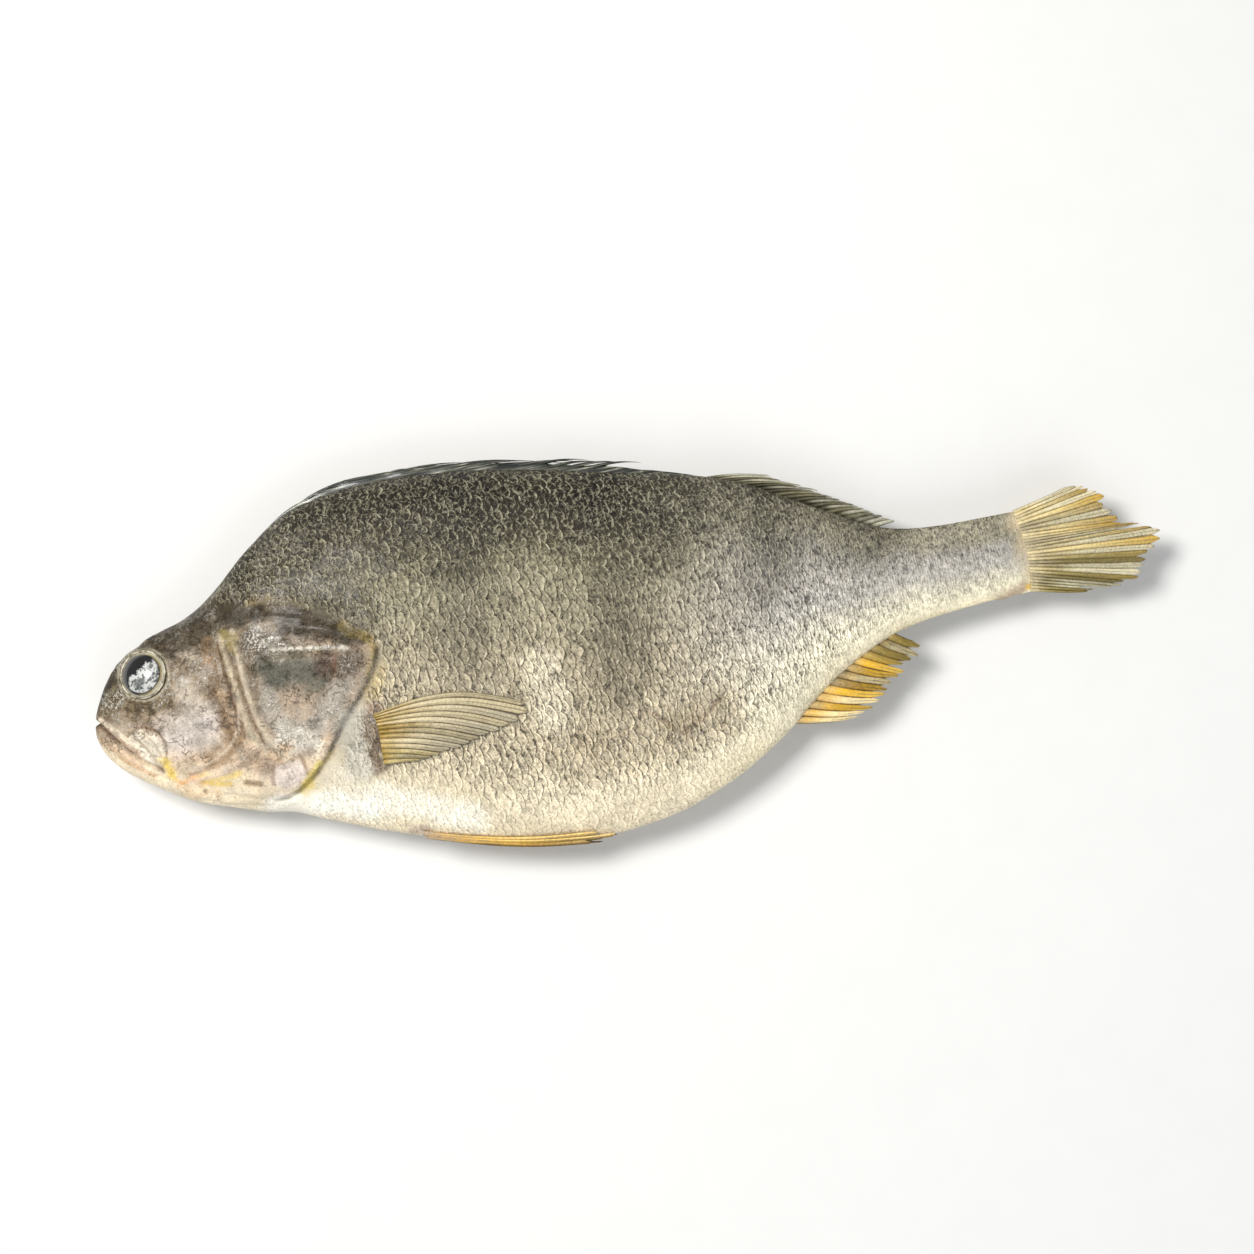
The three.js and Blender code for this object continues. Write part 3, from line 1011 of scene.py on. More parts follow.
MOUTH: Points = ((-1, 1.6), (0.6, 0.4), (2.4, -2), (4.4, -4.2), (6.6, -5.9))
GILL_EDGE: Points = (
    (24.5, 7.4), (28, 5.6), (31, 3.8), (31.8, 2.7), (30.6, 0), (28.4, -2.6), (26.4, -4.8),
    (24.8, -7), (22.4, -9.4), (19.6, -11), (16.6, -11.4),
)
EYE_PLACE = (6.7, 4.8)
FRONT_RIDGE: Points = ((15.6, 7.2), (16, 4), (16.4, 1.5), (16.7, -2), (17.2, -5))
REAR_RIDGE: Points = ((17, 7.4), (17.3, 3), (17.7, -1), (18.4, -4), (19.7, -6.6), (21.4, -8.8))
CHEEK_RIDGE: Points = ((17.2, -5), (15.6, -6.4), (13, -7.2), (9.2, -7.5))
CHEEK_ARC: Points = ((9.8, -6.2), (12.2, -5.8), (14.2, -4.7), (15.6, -3), (16.2, -0.6))
COVER_RIDGE: Points = ((21, 4.6), (24, 4.1), (27, 3.6), (28.8, 3.2))
REAR_GROOVE: Points = ((18.1, 6.6), (18.3, 2), (18.9, -2.4), (20.4, -5.6))
SCALES_START: Points = (
    (12, 12), (16.5, 10.2), (21, 9.9), (25, 8.4), (28.4, 6.2), (31.6, 3.4), (31.9, 1.4),
    (30.4, -1.6), (28.6, -4), (26.8, -6.6), (24.6, -9.6), (22.4, -12), (20, -15),
)
HEAD_END: Points = (
    (12, 12), (16.5, 10), (21, 9.4), (25, 8), (28.4, 6), (31.6, 3.2), (31.6, 1.4),
    (30, -1.6), (27.4, -4), (25.4, -7), (22, -10.4), (19, -12), (14, -13),
)


def around_eye(radius: float) -> Points:
    """Gives places on a closed ring round the eye."""
    turns = np.linspace(0, 2 * math.pi, 25)
    return tuple((EYE_PLACE[0] + radius * math.cos(t), EYE_PLACE[1] + radius * math.sin(t)) for t in turns)


def shifted(line: Points, dx: float, dy: float) -> Points:
    """Moves every place of a line."""
    return tuple((x + dx, y + dy) for x, y in line)


FOLDS: tuple[Fold, ...] = (
    Fold(CHEEK_ARC, 0.4, 0.24),
    Fold(shifted(CHEEK_ARC, -0.5, 0.4), -0.3, 0.26),
    Fold(MOUTH, -1.6, 0.24, 0.04),
    Fold(shifted(MOUTH[1:], 0.45, 0.55), 0.45, 0.42),
    Fold(shifted(MOUTH[1:], -0.6, -0.5), 0.4, 0.45),
    Fold(((3.5, -1.3), (5.2, -1.4), (6.9, -1.9), (7.4, -3.4), (7.0, -5.0), (6.2, -5.4)), -0.5, 0.22),
    Fold(((5, -2.4), (6.2, -3.6)), 0.55, 1.3, 0.01),
    Fold(((4.2, -1.6), (5.4, -2.6), (6.4, -4.2)), 0.25, 0.22),
    Fold(((1.6, -3.3), (5, -6.3), (9, -8.8), (14, -10.8)), 0.5, 0.8),
    Fold(((3.2, -3.9), (6.4, -6.6), (9.5, -8.4)), -0.35, 0.22),
    Fold(FRONT_RIDGE, 0.85, 0.36),
    Fold(REAR_RIDGE, 0.9, 0.34),
    Fold(((15.1, 6.4), (15.4, 1), (16, -4)), -0.5, 0.26),
    Fold(REAR_GROOVE, -0.65, 0.5),
    Fold(((16.5, 6.8), (16.8, 2), (17.3, -2), (18.1, -5.2)), -0.75, 0.26),
    Fold(CHEEK_RIDGE, 0.5, 0.34),
    Fold(((15.4, -5.2), (13, -6.2), (10, -6.4)), -0.35, 0.3),
    Fold(((14.6, 6.5), (14.4, 2), (14.9, -3)), -0.45, 0.8),
    Fold(COVER_RIDGE, 0.7, 0.26),
    Fold(((21, 3.7), (25, 3.1), (28.6, 2.3)), -0.4, 0.3),
    Fold(((22, 1.6), (25, 1.1)), -0.75, 2.0, 0.01),
    Fold(((19.6, -6.6), (22, -5.6), (24.4, -3.6), (27, -1.4), (29.4, 1.6)), -0.35, 0.22),
    Fold(((19.2, -7.6), (21.6, -6.8), (23.8, -5.6)), 0.3, 0.3),
    Fold(((19.6, -9),), 0.7, 1.3),
    Fold(((11.5, -2), (12.4, -1.4)), 0.6, 2.6, 0.01),
    Fold(((12.6, 6.4),), -0.35, 1.8),
    Fold(((10.2, 7.6), (13, 6.6), (14.8, 5)), 0.22, 0.24),
    Fold(((9.8, 3.2), (11.6, 4.4), (13.6, 4.2)), 0.2, 0.26),
    Fold(((3.1, 2.6), (5, 1.5), (7.4, 1.1), (9.4, 2.2)), 0.35, 0.3),
    Fold(((4, 0.7), (6.4, 0.1), (9, 0.6)), 0.25, 0.26),
    Fold(((3.5, 5.9),), -0.7, 0.28),
    Fold(((4.1, 6.5),), -0.55, 0.22),
    Fold(((3.8, 6.2),), 0.35, 0.7),
    Fold(((9, 8.4), (12, 9), (15, 10)), 0.35, 0.5),
    Fold(((19.5, 10.4), (22, 9.7), (25.6, 8.9)), 0.3, 0.22),
    Fold(((20, 9.7), (22.6, 8.9), (26, 8)), 0.3, 0.2),
    Fold(((20.4, 9), (23, 8.2), (26.6, 7)), 0.26, 0.2),
    Fold(((24.5, 7.2), (28, 5.5), (31.4, 3.7)), -0.45, 0.3),
    Fold(((23.6, 6.5), (26, 5.9), (29.4, 4.6)), 0.3, 0.4),
    Fold(((29.9, -4.6), (29.9, -9.4)), 0.7, 0.7, 0.1),
    Fold(((28.4, -4.6), (28.2, -9)), -0.55, 0.7),
    Fold(((9, -9.2), (13, -11), (18, -12.2)), -0.4, 0.2),
    Fold(((12, -9.4), (16, -10.9), (20, -12)), -0.3, 0.18),
    Fold(((35, 3.4), (60, 3.2), (80, 0.8), (98, -1.2)), -0.55, 3.2, 0.2),
    Fold(((58.2, -9.4), (60, -11), (62, -12.8)), -0.4, 0.2),
    Fold(((62, -12.8), (64, -11.4), (66.6, -10)), -0.4, 0.2),
    Fold(((98.5, -5.9),), 0.5, 0.5),
)

MARKS: tuple[Mark, ...] = (
    # Head, from the top down.
    Mark(((0.8, 2), (3, 4.4), (5.5, 7.6), (10, 9.2), (17, 11.4)), 2.3, (0.045, 0.034, 0.018), 0.93),
    Mark(((1.2, 1.8), (3.4, 2.4), (6, 1.2), (8.6, 1.4)), 1.7, (0.15, 0.105, 0.052), 0.85, glint=1.2),
    Mark(((3, 0.8), (6, 0.3)), 1.0, (0.30, 0.22, 0.14), 0.6, glint=0.6),
    Mark(((10, 5.4), (12.6, 6)), 2.2, (0.29, 0.22, 0.145), 0.75, glint=1.0),
    Mark(((11.2, 6.8), (12.4, 5.8)), 1.3, (0.46, 0.39, 0.30), 0.7, glint=1.3),
    Mark(((9.8, 7.2), (14, 8), (17, 9)), 1.6, (0.07, 0.05, 0.028), 0.85, glint=0.3),
    Mark(((10.6, 2.6), (11.4, 0.6)), 1.7, (0.60, 0.52, 0.42), 0.7, glint=0.5),
    Mark(((9.0, -2.2), (12.0, -2.0)), 3.3, (0.70, 0.61, 0.54), 0.95, glint=0.5),
    Mark(((7.6, -0.4), (8.6, -1.6)), 1.0, (0.50, 0.41, 0.33), 0.5, glint=0.6),
    Mark(((14.1, 6.6), (14.2, 2), (14.8, -4.6)), 1.2, (0.20, 0.125, 0.064), 0.85, glint=0.3),
    Mark(((13.7, 4.8),), 0.8, (0.46, 0.26, 0.12), 0.6),
    Mark(((14.6, 1.2), (15.4, -3)), 0.6, (0.48, 0.34, 0.22), 0.6),
    Mark(FRONT_RIDGE, 0.44, (0.55, 0.45, 0.31), 0.9, 0.6),
    Mark(REAR_RIDGE, 0.42, (0.58, 0.48, 0.35), 0.9, 0.6),
    # The next three darken the furrows beside the ridges: painted shade in the grooves.
    Mark(((16.5, 6.6), (16.8, 2), (17.3, -2), (18.1, -5)), 0.3, (0.16, 0.095, 0.045), 0.9),
    Mark(((15.2, 6.4), (15.6, 1), (16.2, -4)), 0.3, (0.17, 0.10, 0.05), 0.8),
    Mark(REAR_GROOVE, 0.6, (0.16, 0.11, 0.065), 0.75),
    Mark(((16.4, 7.2), (16.8, 5.6)), 0.9, (0.30, 0.235, 0.07), 0.7),
    Mark(((4.8, -2.0), (6.2, -3.6)), 1.7, (0.90, 0.79, 0.63), 0.95, 0.35),
    Mark(((4.2, -1.5), (5.4, -2.8), (6.2, -4.6)), 0.22, (0.48, 0.36, 0.25), 0.7),
    Mark(((5.2, -1.2), (6.4, -2.6), (6.8, -4.2)), 0.2, (0.52, 0.4, 0.28), 0.7),
    Mark(((3.5, -1.4), (5.2, -0.7), (7.0, -1.5), (7.5, -3.4), (7.0, -5.2)), 0.26, (0.2, 0.12, 0.06), 0.8),
    Mark(((0.8, 0.2), (2.6, -1.6), (4.4, -3.4)), 0.6, (0.50, 0.35, 0.24), 0.85),
    Mark(((0.9, 1.0), (2.4, -0.5), (3.8, -2.1)), 0.42, (0.80, 0.67, 0.50), 0.85, glint=0.2),
    Mark(((3.9, 5.4), (4.5, 6.3)), 0.55, (0.46, 0.40, 0.29), 0.75, glint=1.2),
    Mark(((2.2, 3.6), (3.4, 4.2)), 0.5, (0.30, 0.25, 0.16), 0.6, glint=1.2),
    Mark(MOUTH, 0.3, (0.10, 0.05, 0.025), 0.9),
    Mark(((0.6, -2.2), (4.6, -5.6), (9, -8.5), (13, -10.4)), 1.35, (0.84, 0.70, 0.49), 0.95),
    Mark(((0.5, -1.2), (2, -2.6), (4.4, -4.9)), 0.5, (0.66, 0.44, 0.28), 0.7),
    Mark(((2.2, -3.4), (5.6, -6.1)), 0.3, (0.55, 0.34, 0.18), 0.7),
    Mark(((7.0, -5.0), (7.7, -6.5)), 0.9, (0.78, 0.55, 0.09), 0.85, 0.95),
    Mark(((8.2, -7.3), (10.8, -7.5)), 0.85, (0.84, 0.42, 0.14), 0.9, 0.95),
    Mark(((10.8, -7.4), (14.8, -7.9)), 0.8, (0.82, 0.60, 0.2), 0.8, 0.95),
    Mark(((11.6, -8.2), (13.4, -8.6)), 0.5, (0.72, 0.5, 0.06), 0.7),
    Mark(((8.6, -8.6), (12, -9.4)), 0.8, (0.70, 0.50, 0.30), 0.6),
    Mark(((10.6, -8.8),), 0.4, (0.16, 0.09, 0.04), 0.7),
    Mark(((15.2, -8.8), (16.6, -9.2)), 0.55, (0.13, 0.075, 0.03), 0.75),
    Mark(CHEEK_RIDGE, 0.38, (0.74, 0.58, 0.44), 0.8),
    Mark(((15.2, -5.9), (13, -6.4), (9.4, -6.7)), 0.26, (0.30, 0.18, 0.10), 0.7),
    Mark(((12.0, -6), (15.4, -4.2)), 1.4, (0.32, 0.205, 0.11), 0.85),
    Mark(CHEEK_ARC, 0.24, (0.70, 0.56, 0.42), 0.75),
    Mark(((15.8, -6.2), (18.6, -7.4)), 1.8, (0.34, 0.24, 0.16), 0.85, glint=0.8),
    Mark(around_eye(2.8), 0.2, (0.56, 0.50, 0.35), 0.7, 0.9, glint=0.6),
    Mark(around_eye(3.3)[3:15], 0.8, (0.10, 0.07, 0.035), 0.5, 0.9, glint=0.9),
    # Gill cover.
    Mark(((19, 6.2), (20.4, 5.2), (19.6, 3.4)), 2.0, (0.11, 0.087, 0.057), 0.92, glint=1.4),
    Mark(((21.6, 5.8), (22.6, 4.6)), 1.3, (0.14, 0.11, 0.075), 0.85, glint=1.1),
    Mark(((17.2, 9), (20.6, 8.8), (24.4, 8)), 1.5, (0.045, 0.031, 0.015), 0.97, glint=0.1),
    Mark(((20.6, 2), (22.6, 2), (25, 1)), 2.9, (0.095, 0.092, 0.066), 0.95, glint=0.1),
    Mark(((26, 2), (28.8, 1)), 1.9, (0.085, 0.052, 0.032), 0.9, glint=0.2),
    Mark(((22.8, 7), (26.4, 6), (29.6, 4.4)), 2.0, (0.04, 0.027, 0.014), 0.96, glint=0.1),
    Mark(COVER_RIDGE, 0.26, (0.70, 0.64, 0.54), 0.95, 0.5, glint=0.0),
    Mark(((20, 5.6), (21.4, 4.6)), 0.3, (0.5, 0.46, 0.36), 0.7),
    Mark(((27.2, 2.6), (27, 1), (26.2, -0.6)), 0.34, (0.16, 0.06, 0.03), 0.6),
    Mark(((19.4, 0), (19.8, -3.6)), 1.5, (0.50, 0.44, 0.36), 0.8, glint=1.1),
    Mark(((20.4, -3.4), (22.4, -4.8), (25.4, -2.8), (27.4, -0.6)), 1.7, (0.46, 0.41, 0.34), 0.9, glint=1.4),
    Mark(((20.6, -4.6), (23, -6)), 1.7, (0.80, 0.74, 0.63), 0.8, glint=1.4),
    Mark(((27.6, 0.4), (29.8, 1.8)), 1.4, (0.17, 0.13, 0.09), 0.8, glint=0.9),
    Mark(((20.6, -6.6), (23.4, -5.6), (25.4, -3.6)), 0.3, (0.68, 0.6, 0.5), 0.7),
    Mark(((20.4, -7.3), (23, -6.6)), 0.26, (0.26, 0.19, 0.13), 0.7),
    Mark(((19.4, -9), (20.4, -8.8)), 1.7, (0.72, 0.62, 0.55), 0.9, 0.4, glint=0.3),
    Mark(((18.4, -7.6), (18, -9.4)), 0.4, (0.3, 0.2, 0.13), 0.7),
    Mark(((21.6, -7.2), (21.9, -9)), 0.34, (0.2, 0.12, 0.07), 0.7),
    Mark(((28.6, 5.4), (31.2, 3.9)), 0.8, (0.24, 0.175, 0.05), 0.85),
    Mark(((31.3, 3.2), (31.5, 2.2), (30.4, 0)), 0.6, (0.34, 0.255, 0.11), 0.8),
    Mark(((31.8, 2.4), (30.8, 0), (28.6, -2.6), (26.4, -5), (24.8, -7.2)), 0.42, (0.075, 0.055, 0.025), 0.92),
    Mark(((24.8, -7.4), (22.6, -9.5), (20, -11.1)), 0.4, (0.30, 0.235, 0.06), 0.85),
    Mark(((23.4, -8.2), (21.4, -10)), 0.5, (0.70, 0.56, 0.14), 0.8),
    Mark(((22, -10.2), (21, -10.9)), 0.8, (0.60, 0.46, 0.10), 0.7),
    # Behind the gill cover, and the throat.
    Mark(((31.6, -0.2), (30.6, -1.8)), 1.5, (0.46, 0.34, 0.13), 0.85, glint=0.5),
    # Painted shade at the top of the pectoral fin's root.
    Mark(((30.2, -3.6),), 1.3, (0.15, 0.075, 0.045), 0.92),
    Mark(((27.8, -4.6), (27.6, -9.4)), 2.8, (0.46, 0.43, 0.36), 0.9, glint=1.2),
    Mark(((29.5, -4.8), (29.5, -9.8)), 1.5, (0.13, 0.085, 0.052), 0.95),
    Mark(((24.4, -9.8), (27.4, -11.4)), 1.9, (0.66, 0.60, 0.48), 0.7, glint=0.7),
    Mark(((17.4, -12.2), (24, -13), (28, -14.4)), 2.3, (0.93, 0.88, 0.76), 0.93),
    Mark(((20, 10.2), (25, 9)), 1.2, (0.17, 0.125, 0.055), 0.8),
    Mark(((19.6, 11), (22.4, 9.8), (25.4, 8.8)), 0.34, (0.27, 0.215, 0.115), 0.6),
    Mark(((21.4, 9.4), (25.8, 7.6)), 0.3, (0.06, 0.04, 0.02), 0.8),
    # Trunk.
    # The first two darken the nape: partly its own near-black brown, partly painted shade.
    Mark(((24, 15), (30, 13.4)), 4.0, (0.045, 0.037, 0.021), 0.45),
    Mark(((21.6, 12.4), (26, 10), (30.6, 7)), 3.6, (0.04, 0.032, 0.018), 0.75),
    Mark(((48.4, -3), (48.6, -8)), 3.4, (0.66, 0.59, 0.44), 0.6),
    Mark(((50, -13), (57, -13), (66, -11.6)), 4.2, (0.38, 0.315, 0.21), 0.76),
    Mark(((32, -1), (38, -2.6), (43.6, -4.4)), 3.4, (0.34, 0.29, 0.20), 0.42),
    Mark(((41, -8.5), (43.6, -14)), 3.4, (0.40, 0.34, 0.235), 0.42),
    Mark(((29, -13.2), (33, -15), (38, -17.4)), 2.4, (0.93, 0.88, 0.75), 0.7),
    Mark(((31.4, -17.6), (33.6, -18.2)), 0.8, (0.50, 0.38, 0.30), 0.7),
    Mark(((61, -11.4), (64, -12)), 2.2, (0.33, 0.27, 0.18), 0.5),
    Mark(((58.2, -9.5), (60, -11), (62, -12.8), (66.6, -10)), 0.4, (0.16, 0.11, 0.07), 0.7),
    Mark(((91, 2.6), (97, 2.2), (100.6, 2)), 2.6, (0.27, 0.245, 0.175), 0.75),
    Mark(((98.4, -5.8), (101, -5)), 1.2, (0.30, 0.2, 0.13), 0.75),
    Mark(((101.6, -5.4),), 0.9, (0.68, 0.42, 0.05), 0.85),
    Mark(((101.8, 2.6), (102.2, -3.6)), 2.4, (0.56, 0.46, 0.29), 0.9, 1.0),
)


@dataclass(frozen=True)
class Bar:
    """A soft dark bar that comes down from the back."""

    x: float
    half_width: float
    foot: float
    strength: float


BARS = (
    Bar(25, 3.0, 0.72, 0.2), Bar(42.2, 3.8, 0.34, 0.42), Bar(58.4, 3.6, 0.26, 0.46),
    Bar(75, 3.0, 0.5, 0.36), Bar(85, 2.6, 0.6, 0.14),
)
HEIGHT_STOPS = (0.0, 0.08, 0.16, 0.28, 0.42, 0.55, 0.66, 0.74, 0.82, 0.9, 1.0)
HEIGHT_TINTS = (
    (0.78, 0.67, 0.47), (0.77, 0.67, 0.485), (0.655, 0.57, 0.405), (0.475, 0.405, 0.283),
    (0.42, 0.36, 0.25), (0.30, 0.26, 0.178), (0.245, 0.218, 0.145), (0.125, 0.11, 0.067),
    (0.042, 0.035, 0.02), (0.02, 0.016, 0.009), (0.015, 0.012, 0.006),
)
STALK_TINTS = (
    (0.78, 0.69, 0.46), (0.83, 0.75, 0.55), (0.78, 0.72, 0.54), (0.60, 0.56, 0.45),
    (0.455, 0.43, 0.385), (0.385, 0.36, 0.325), (0.28, 0.26, 0.23), (0.195, 0.18, 0.15),
    (0.155, 0.142, 0.105), (0.115, 0.104, 0.075), (0.09, 0.08, 0.056),
)
HEAD_TINTS = (
    (0.80, 0.69, 0.49), (0.78, 0.66, 0.46), (0.74, 0.59, 0.42), (0.56, 0.42, 0.29),
    (0.44, 0.335, 0.24), (0.36, 0.275, 0.19), (0.28, 0.21, 0.135), (0.21, 0.155, 0.095),
    (0.13, 0.098, 0.06), (0.07, 0.053, 0.031), (0.04, 0.03, 0.016),
)


@dataclass
class Body:
    """Head, trunk and tail stalk in one skin, with its relief and its colours."""

    rings: int = 412
    section_samples: int = 241  # places round half a section that its points are spaced along
    left_steps: int = 150
    right_steps: int = 90
    scale_length: float = 1.56  # fish units from one scale to the next in its row
    scale_height: float = 1.95  # fish units between rows of the same set
    scale_shrink: float = 0.85  # how closely the scales' size follows the body's depth
    smallest_scale: float = 0.36  # share of full size
    scale_rise_mm: float = 0.15
    first_rows: tuple[int, int] = (60, 160)  # keeps the two flanks' row numbers apart
    inset_mm: float = 0.35  # how far the plain skin lies inside the CAD solid
    most_lift_mm: float = 0.9  # on the broad of a flank
    x: np.ndarray = field(default_factory=lambda: np.zeros(0))
    y: np.ndarray = field(default_factory=lambda: np.zeros(0))
    side: np.ndarray = field(default_factory=lambda: np.zeros(0))
    arc: np.ndarray = field(default_factory=lambda: np.zeros(0))

    def stations(self) -> np.ndarray:
        """Gives the places of the rings along the fish, closer together at the head.

        Returns:
            The places, in fish units.
        """
        x = np.linspace(0, TAIL_END, 4000)
        density = np.interp(x, [0, 0.4, 1.5, 30, 34, 86, 100, TAIL_END], [14, 5, 1.6, 1.5, 1, 1, 0.9, 2.2])
        total = np.concatenate([[0], np.cumsum((density[1:] + density[:-1]) / 2 * np.diff(x))])
        return np.interp(np.linspace(0, 1, self.rings + 1), total / total[-1], x)

    def section(self, x: float) -> tuple[np.ndarray, np.ndarray, np.ndarray]:
        """Spaces points evenly round one section.

        Args:
            x: The section's place, in fish units.

        Returns:
            For each point from the back round the left flank, the belly and the right flank: its height
            in fish units, its distance from the middle plane in metres, and its distance along the skin
            from the widest place, in fish units, above zero towards the back.
        """
        turn = np.linspace(0, math.pi, self.section_samples)
        middle, top, low = (profile.one(x) for profile in (WIDEST, BACK, BELLY))
        half = FORM.thickness / 2 * WIDTH.one(x)
        y = middle + np.where(turn < math.pi / 2, top - middle, middle - low) * np.cos(turn)
        z = half * np.sin(turn).clip(0) ** FORM.section_power
        arc = np.concatenate([[0], np.cumsum(np.hypot(np.diff(y) * FORM.upward, np.diff(z)))])
        left = np.linspace(0, 1, self.left_steps + 1)[:-1]
        right = 1 - np.linspace(0, 1, self.right_steps + 1)[:-1]
        wanted = np.concatenate([left, right]) * arc[-1]
        sign = np.concatenate([np.ones(self.left_steps), -np.ones(self.right_steps)])
        widest = np.interp(math.pi / 2, turn, arc)
        return (
            np.interp(wanted, arc, y),
            np.interp(wanted, arc, z) * sign,
            (widest - wanted) / FORM.upward,
        )

    def build(self) -> Any:
        """Models the body.

        Returns:
            The object.
        """
        around = self.left_steps + self.right_steps
        bm = bmesh.new()
        bmesh.ops.create_uvsphere(bm, u_segments=around, v_segments=self.rings, radius=1.0)
        piece = add_piece("body_skin", bm, SkinFinish().material(), "body", "skin")
        mesh = piece.data
        ball = read_points(mesh)
        ring = np.rint(np.arccos(np.clip(ball[:, 2], -1, 1)) / math.pi * self.rings).astype(int)
        turn = np.arctan2(ball[:, 1], ball[:, 0]) % (2 * math.pi)
        spoke = np.rint(turn / (2 * math.pi) * around).astype(int) % around
        stations = self.stations()
        sections = [self.section(float(x)) for x in stations]
        heights, depths, arcs = (np.array([s[k] for s in sections]) for k in range(3))
        self.x = stations[ring]
        self.y = heights[ring, spoke]
        z = depths[ring, spoke]
        self.arc = arcs[ring, spoke]
        pole = (ring == 0) | (ring == self.rings)
        middle = (BACK.at(self.x) + BELLY.at(self.x)) / 2
        self.y = np.where(pole, middle, self.y)
        z = np.where(pole, 0.0, z)
        self.side = np.where(spoke <= self.left_steps, 1, -1)
        write_points(mesh, FORM.place(self.x, self.y, z))
        self.face_outwards(mesh)
        self.raise_relief(mesh)
        self.store_scales(mesh, ring, spoke, stations, arcs)
        self.paint(mesh)
        return piece

    @staticmethod
    def face_outwards(mesh: bpy.types.Mesh) -> None:
        """Turns every face of the body outwards.

        Args:
            mesh: The body's mesh.
        """
        bm = bmesh.new()
        bm.from_mesh(mesh)
        bmesh.ops.recalc_face_normals(bm, faces=bm.faces[:])
        bm.to_mesh(mesh)
        bm.free()

    def scale_coordinates(self, x: np.ndarray, arc: np.ndarray, side: np.ndarray) -> np.ndarray:
        """Gives the place among the rows of scales, which grow smaller towards the tail.

        Args:
            x: Fish units from the snout.
            arc: Fish units along the skin from the widest place.
            side: 1 on the left flank and -1 on the right.

        Returns:
            Two numbers for each place: scales along the row, and rows across.
        """
        sample = np.linspace(0, TAIL_END, 600)
        depth = BACK.at(sample) - BELLY.at(sample)
        size = np.clip((depth / depth.max()) ** self.scale_shrink, self.smallest_scale, 1)
        steps = np.concatenate([[0], np.cumsum(np.diff(sample) / (size[1:] * self.scale_length))])
        u = np.interp(x, sample, steps)
        v = arc / (self.scale_height * np.interp(x, sample, size))
        v = v * (1 + 0.02 * np.maximum(v, 0))
        u = u + 0.2 * ripple(x, arc, 5, 11) + 0.11 * ripple(x, arc, 1.3, 12) + 0.11 * v
        v = v + 0.2 * ripple(x, arc, 6, 13) + 0.1 * ripple(x, arc, 1.4, 14)
        return np.stack([u, v + np.where(side > 0, *self.first_rows)], axis=-1)

    @staticmethod
    def scale_height_at(uv: np.ndarray, reach: float) -> np.ndarray:
        """Gives the height of overlapping scales, 0 to 1, highest at each free edge.

        Args:
            uv: Each point's place along its row and across the rows, in scales.
            reach: How far a scale's round edge lies from its middle, in scale lengths.

        Returns:
            The height at each point.
        """
        found = []
        for shift in (0.0, 0.5):
            across = uv[:, 1] - shift
            across = across - np.round(across)
            edge = np.sqrt(np.maximum(reach**2 - across**2, 0))
            ahead = uv[:, 0] - shift - edge
            middle = np.ceil(ahead)
            found.append((middle + shift, middle - ahead))
        (middle_a, ahead_a), (middle_b, ahead_b) = found
        return 1 - np.where(middle_a < middle_b, ahead_a, ahead_b)

    def scaly(self) -> np.ndarray:
        """Gives how strongly the scales show at each point, 0 on the bare head.

        Returns:
            The strength at each point.
        """
        _, signed, _ = Path(SCALES_START).measure(self.x, self.y, WHOLE_FISH)
        behind = smoothstep(-0.2, 0.7, signed + 0.35 * ripple(self.x, self.y, 1.5, 21))
        belly = (self.y - BELLY.at(self.x)) / (BACK.at(self.x) - BELLY.at(self.x))
        low = 0.3 + 0.7 * smoothstep(0.05, 0.2, belly - 0.09 * smoothstep(44, 34, self.x))
        end = 1 - 0.75 * smoothstep(98, 101.5, self.x)
        end = end * (1 - 0.5 * smoothstep(76, 92, self.x) * smoothstep(0.75, 0.4, belly))
        silvery = hump(self.x - 27, 2.6) * hump(self.y + 8, 4)
        return behind * low * end * (1 - 0.45 * silvery)

    def raise_relief(self, mesh: bpy.types.Mesh) -> None:
        """Moves the skin in and out: folds of the head, scales, and the swells of drying.

        Args:
            mesh: The body's mesh.
        """
        points = read_points(mesh)
        normals = np.empty(len(points) * 3, np.float32)
        mesh.vertices.foreach_get("normal", normals)
        normals = normals.reshape(-1, 3).astype(float)
        x, y = self.x, self.y
        lift = np.full(len(x), -self.inset_mm)
        for fold in FOLDS:
            lift += fold.lift(x, y)
        lift += self.gill_cover(x, y) + self.eye_socket(x, y)
        uv = self.scale_coordinates(x, self.arc, self.side)
        shingle = self.scale_height_at(uv, SkinFinish.reach) - 0.6
        scaly = self.scaly()
        slim = smoothstep(8, 24, BACK.at(x) - BELLY.at(x))
        lift += scaly * self.scale_rise_mm * shingle * (0.25 + 0.75 * slim)
        away = smoothstep(0, 4, x) * smoothstep(0, 3, TAIL_END - x)
        drying = 0.28 * ripple(x, y, 11, 31) + 0.12 * ripple(x, y, 4, 32) - 0.2
        wrinkles = 0.07 * ripple(x, y, 1.1, 33)
        lift += away * (drying + (1 - scaly) * wrinkles)
        faces_out = self.side * normals[:, 2] > 0.9
        lift = np.where(faces_out, np.minimum(lift, self.most_lift_mm), lift)
        edge_on = 0.6 + 0.4 * smoothstep(0, 0.25, np.hypot(normals[:, 0], normals[:, 1]))
        points += normals * (lift * MM * edge_on)[:, None]
        points[:, 2] = np.maximum(points[:, 2], FLOOR_GAP)
        low, high = np.array(CAD_BOX[0]), np.array(CAD_BOX[1])
        write_points(mesh, np.clip(points, low, high))

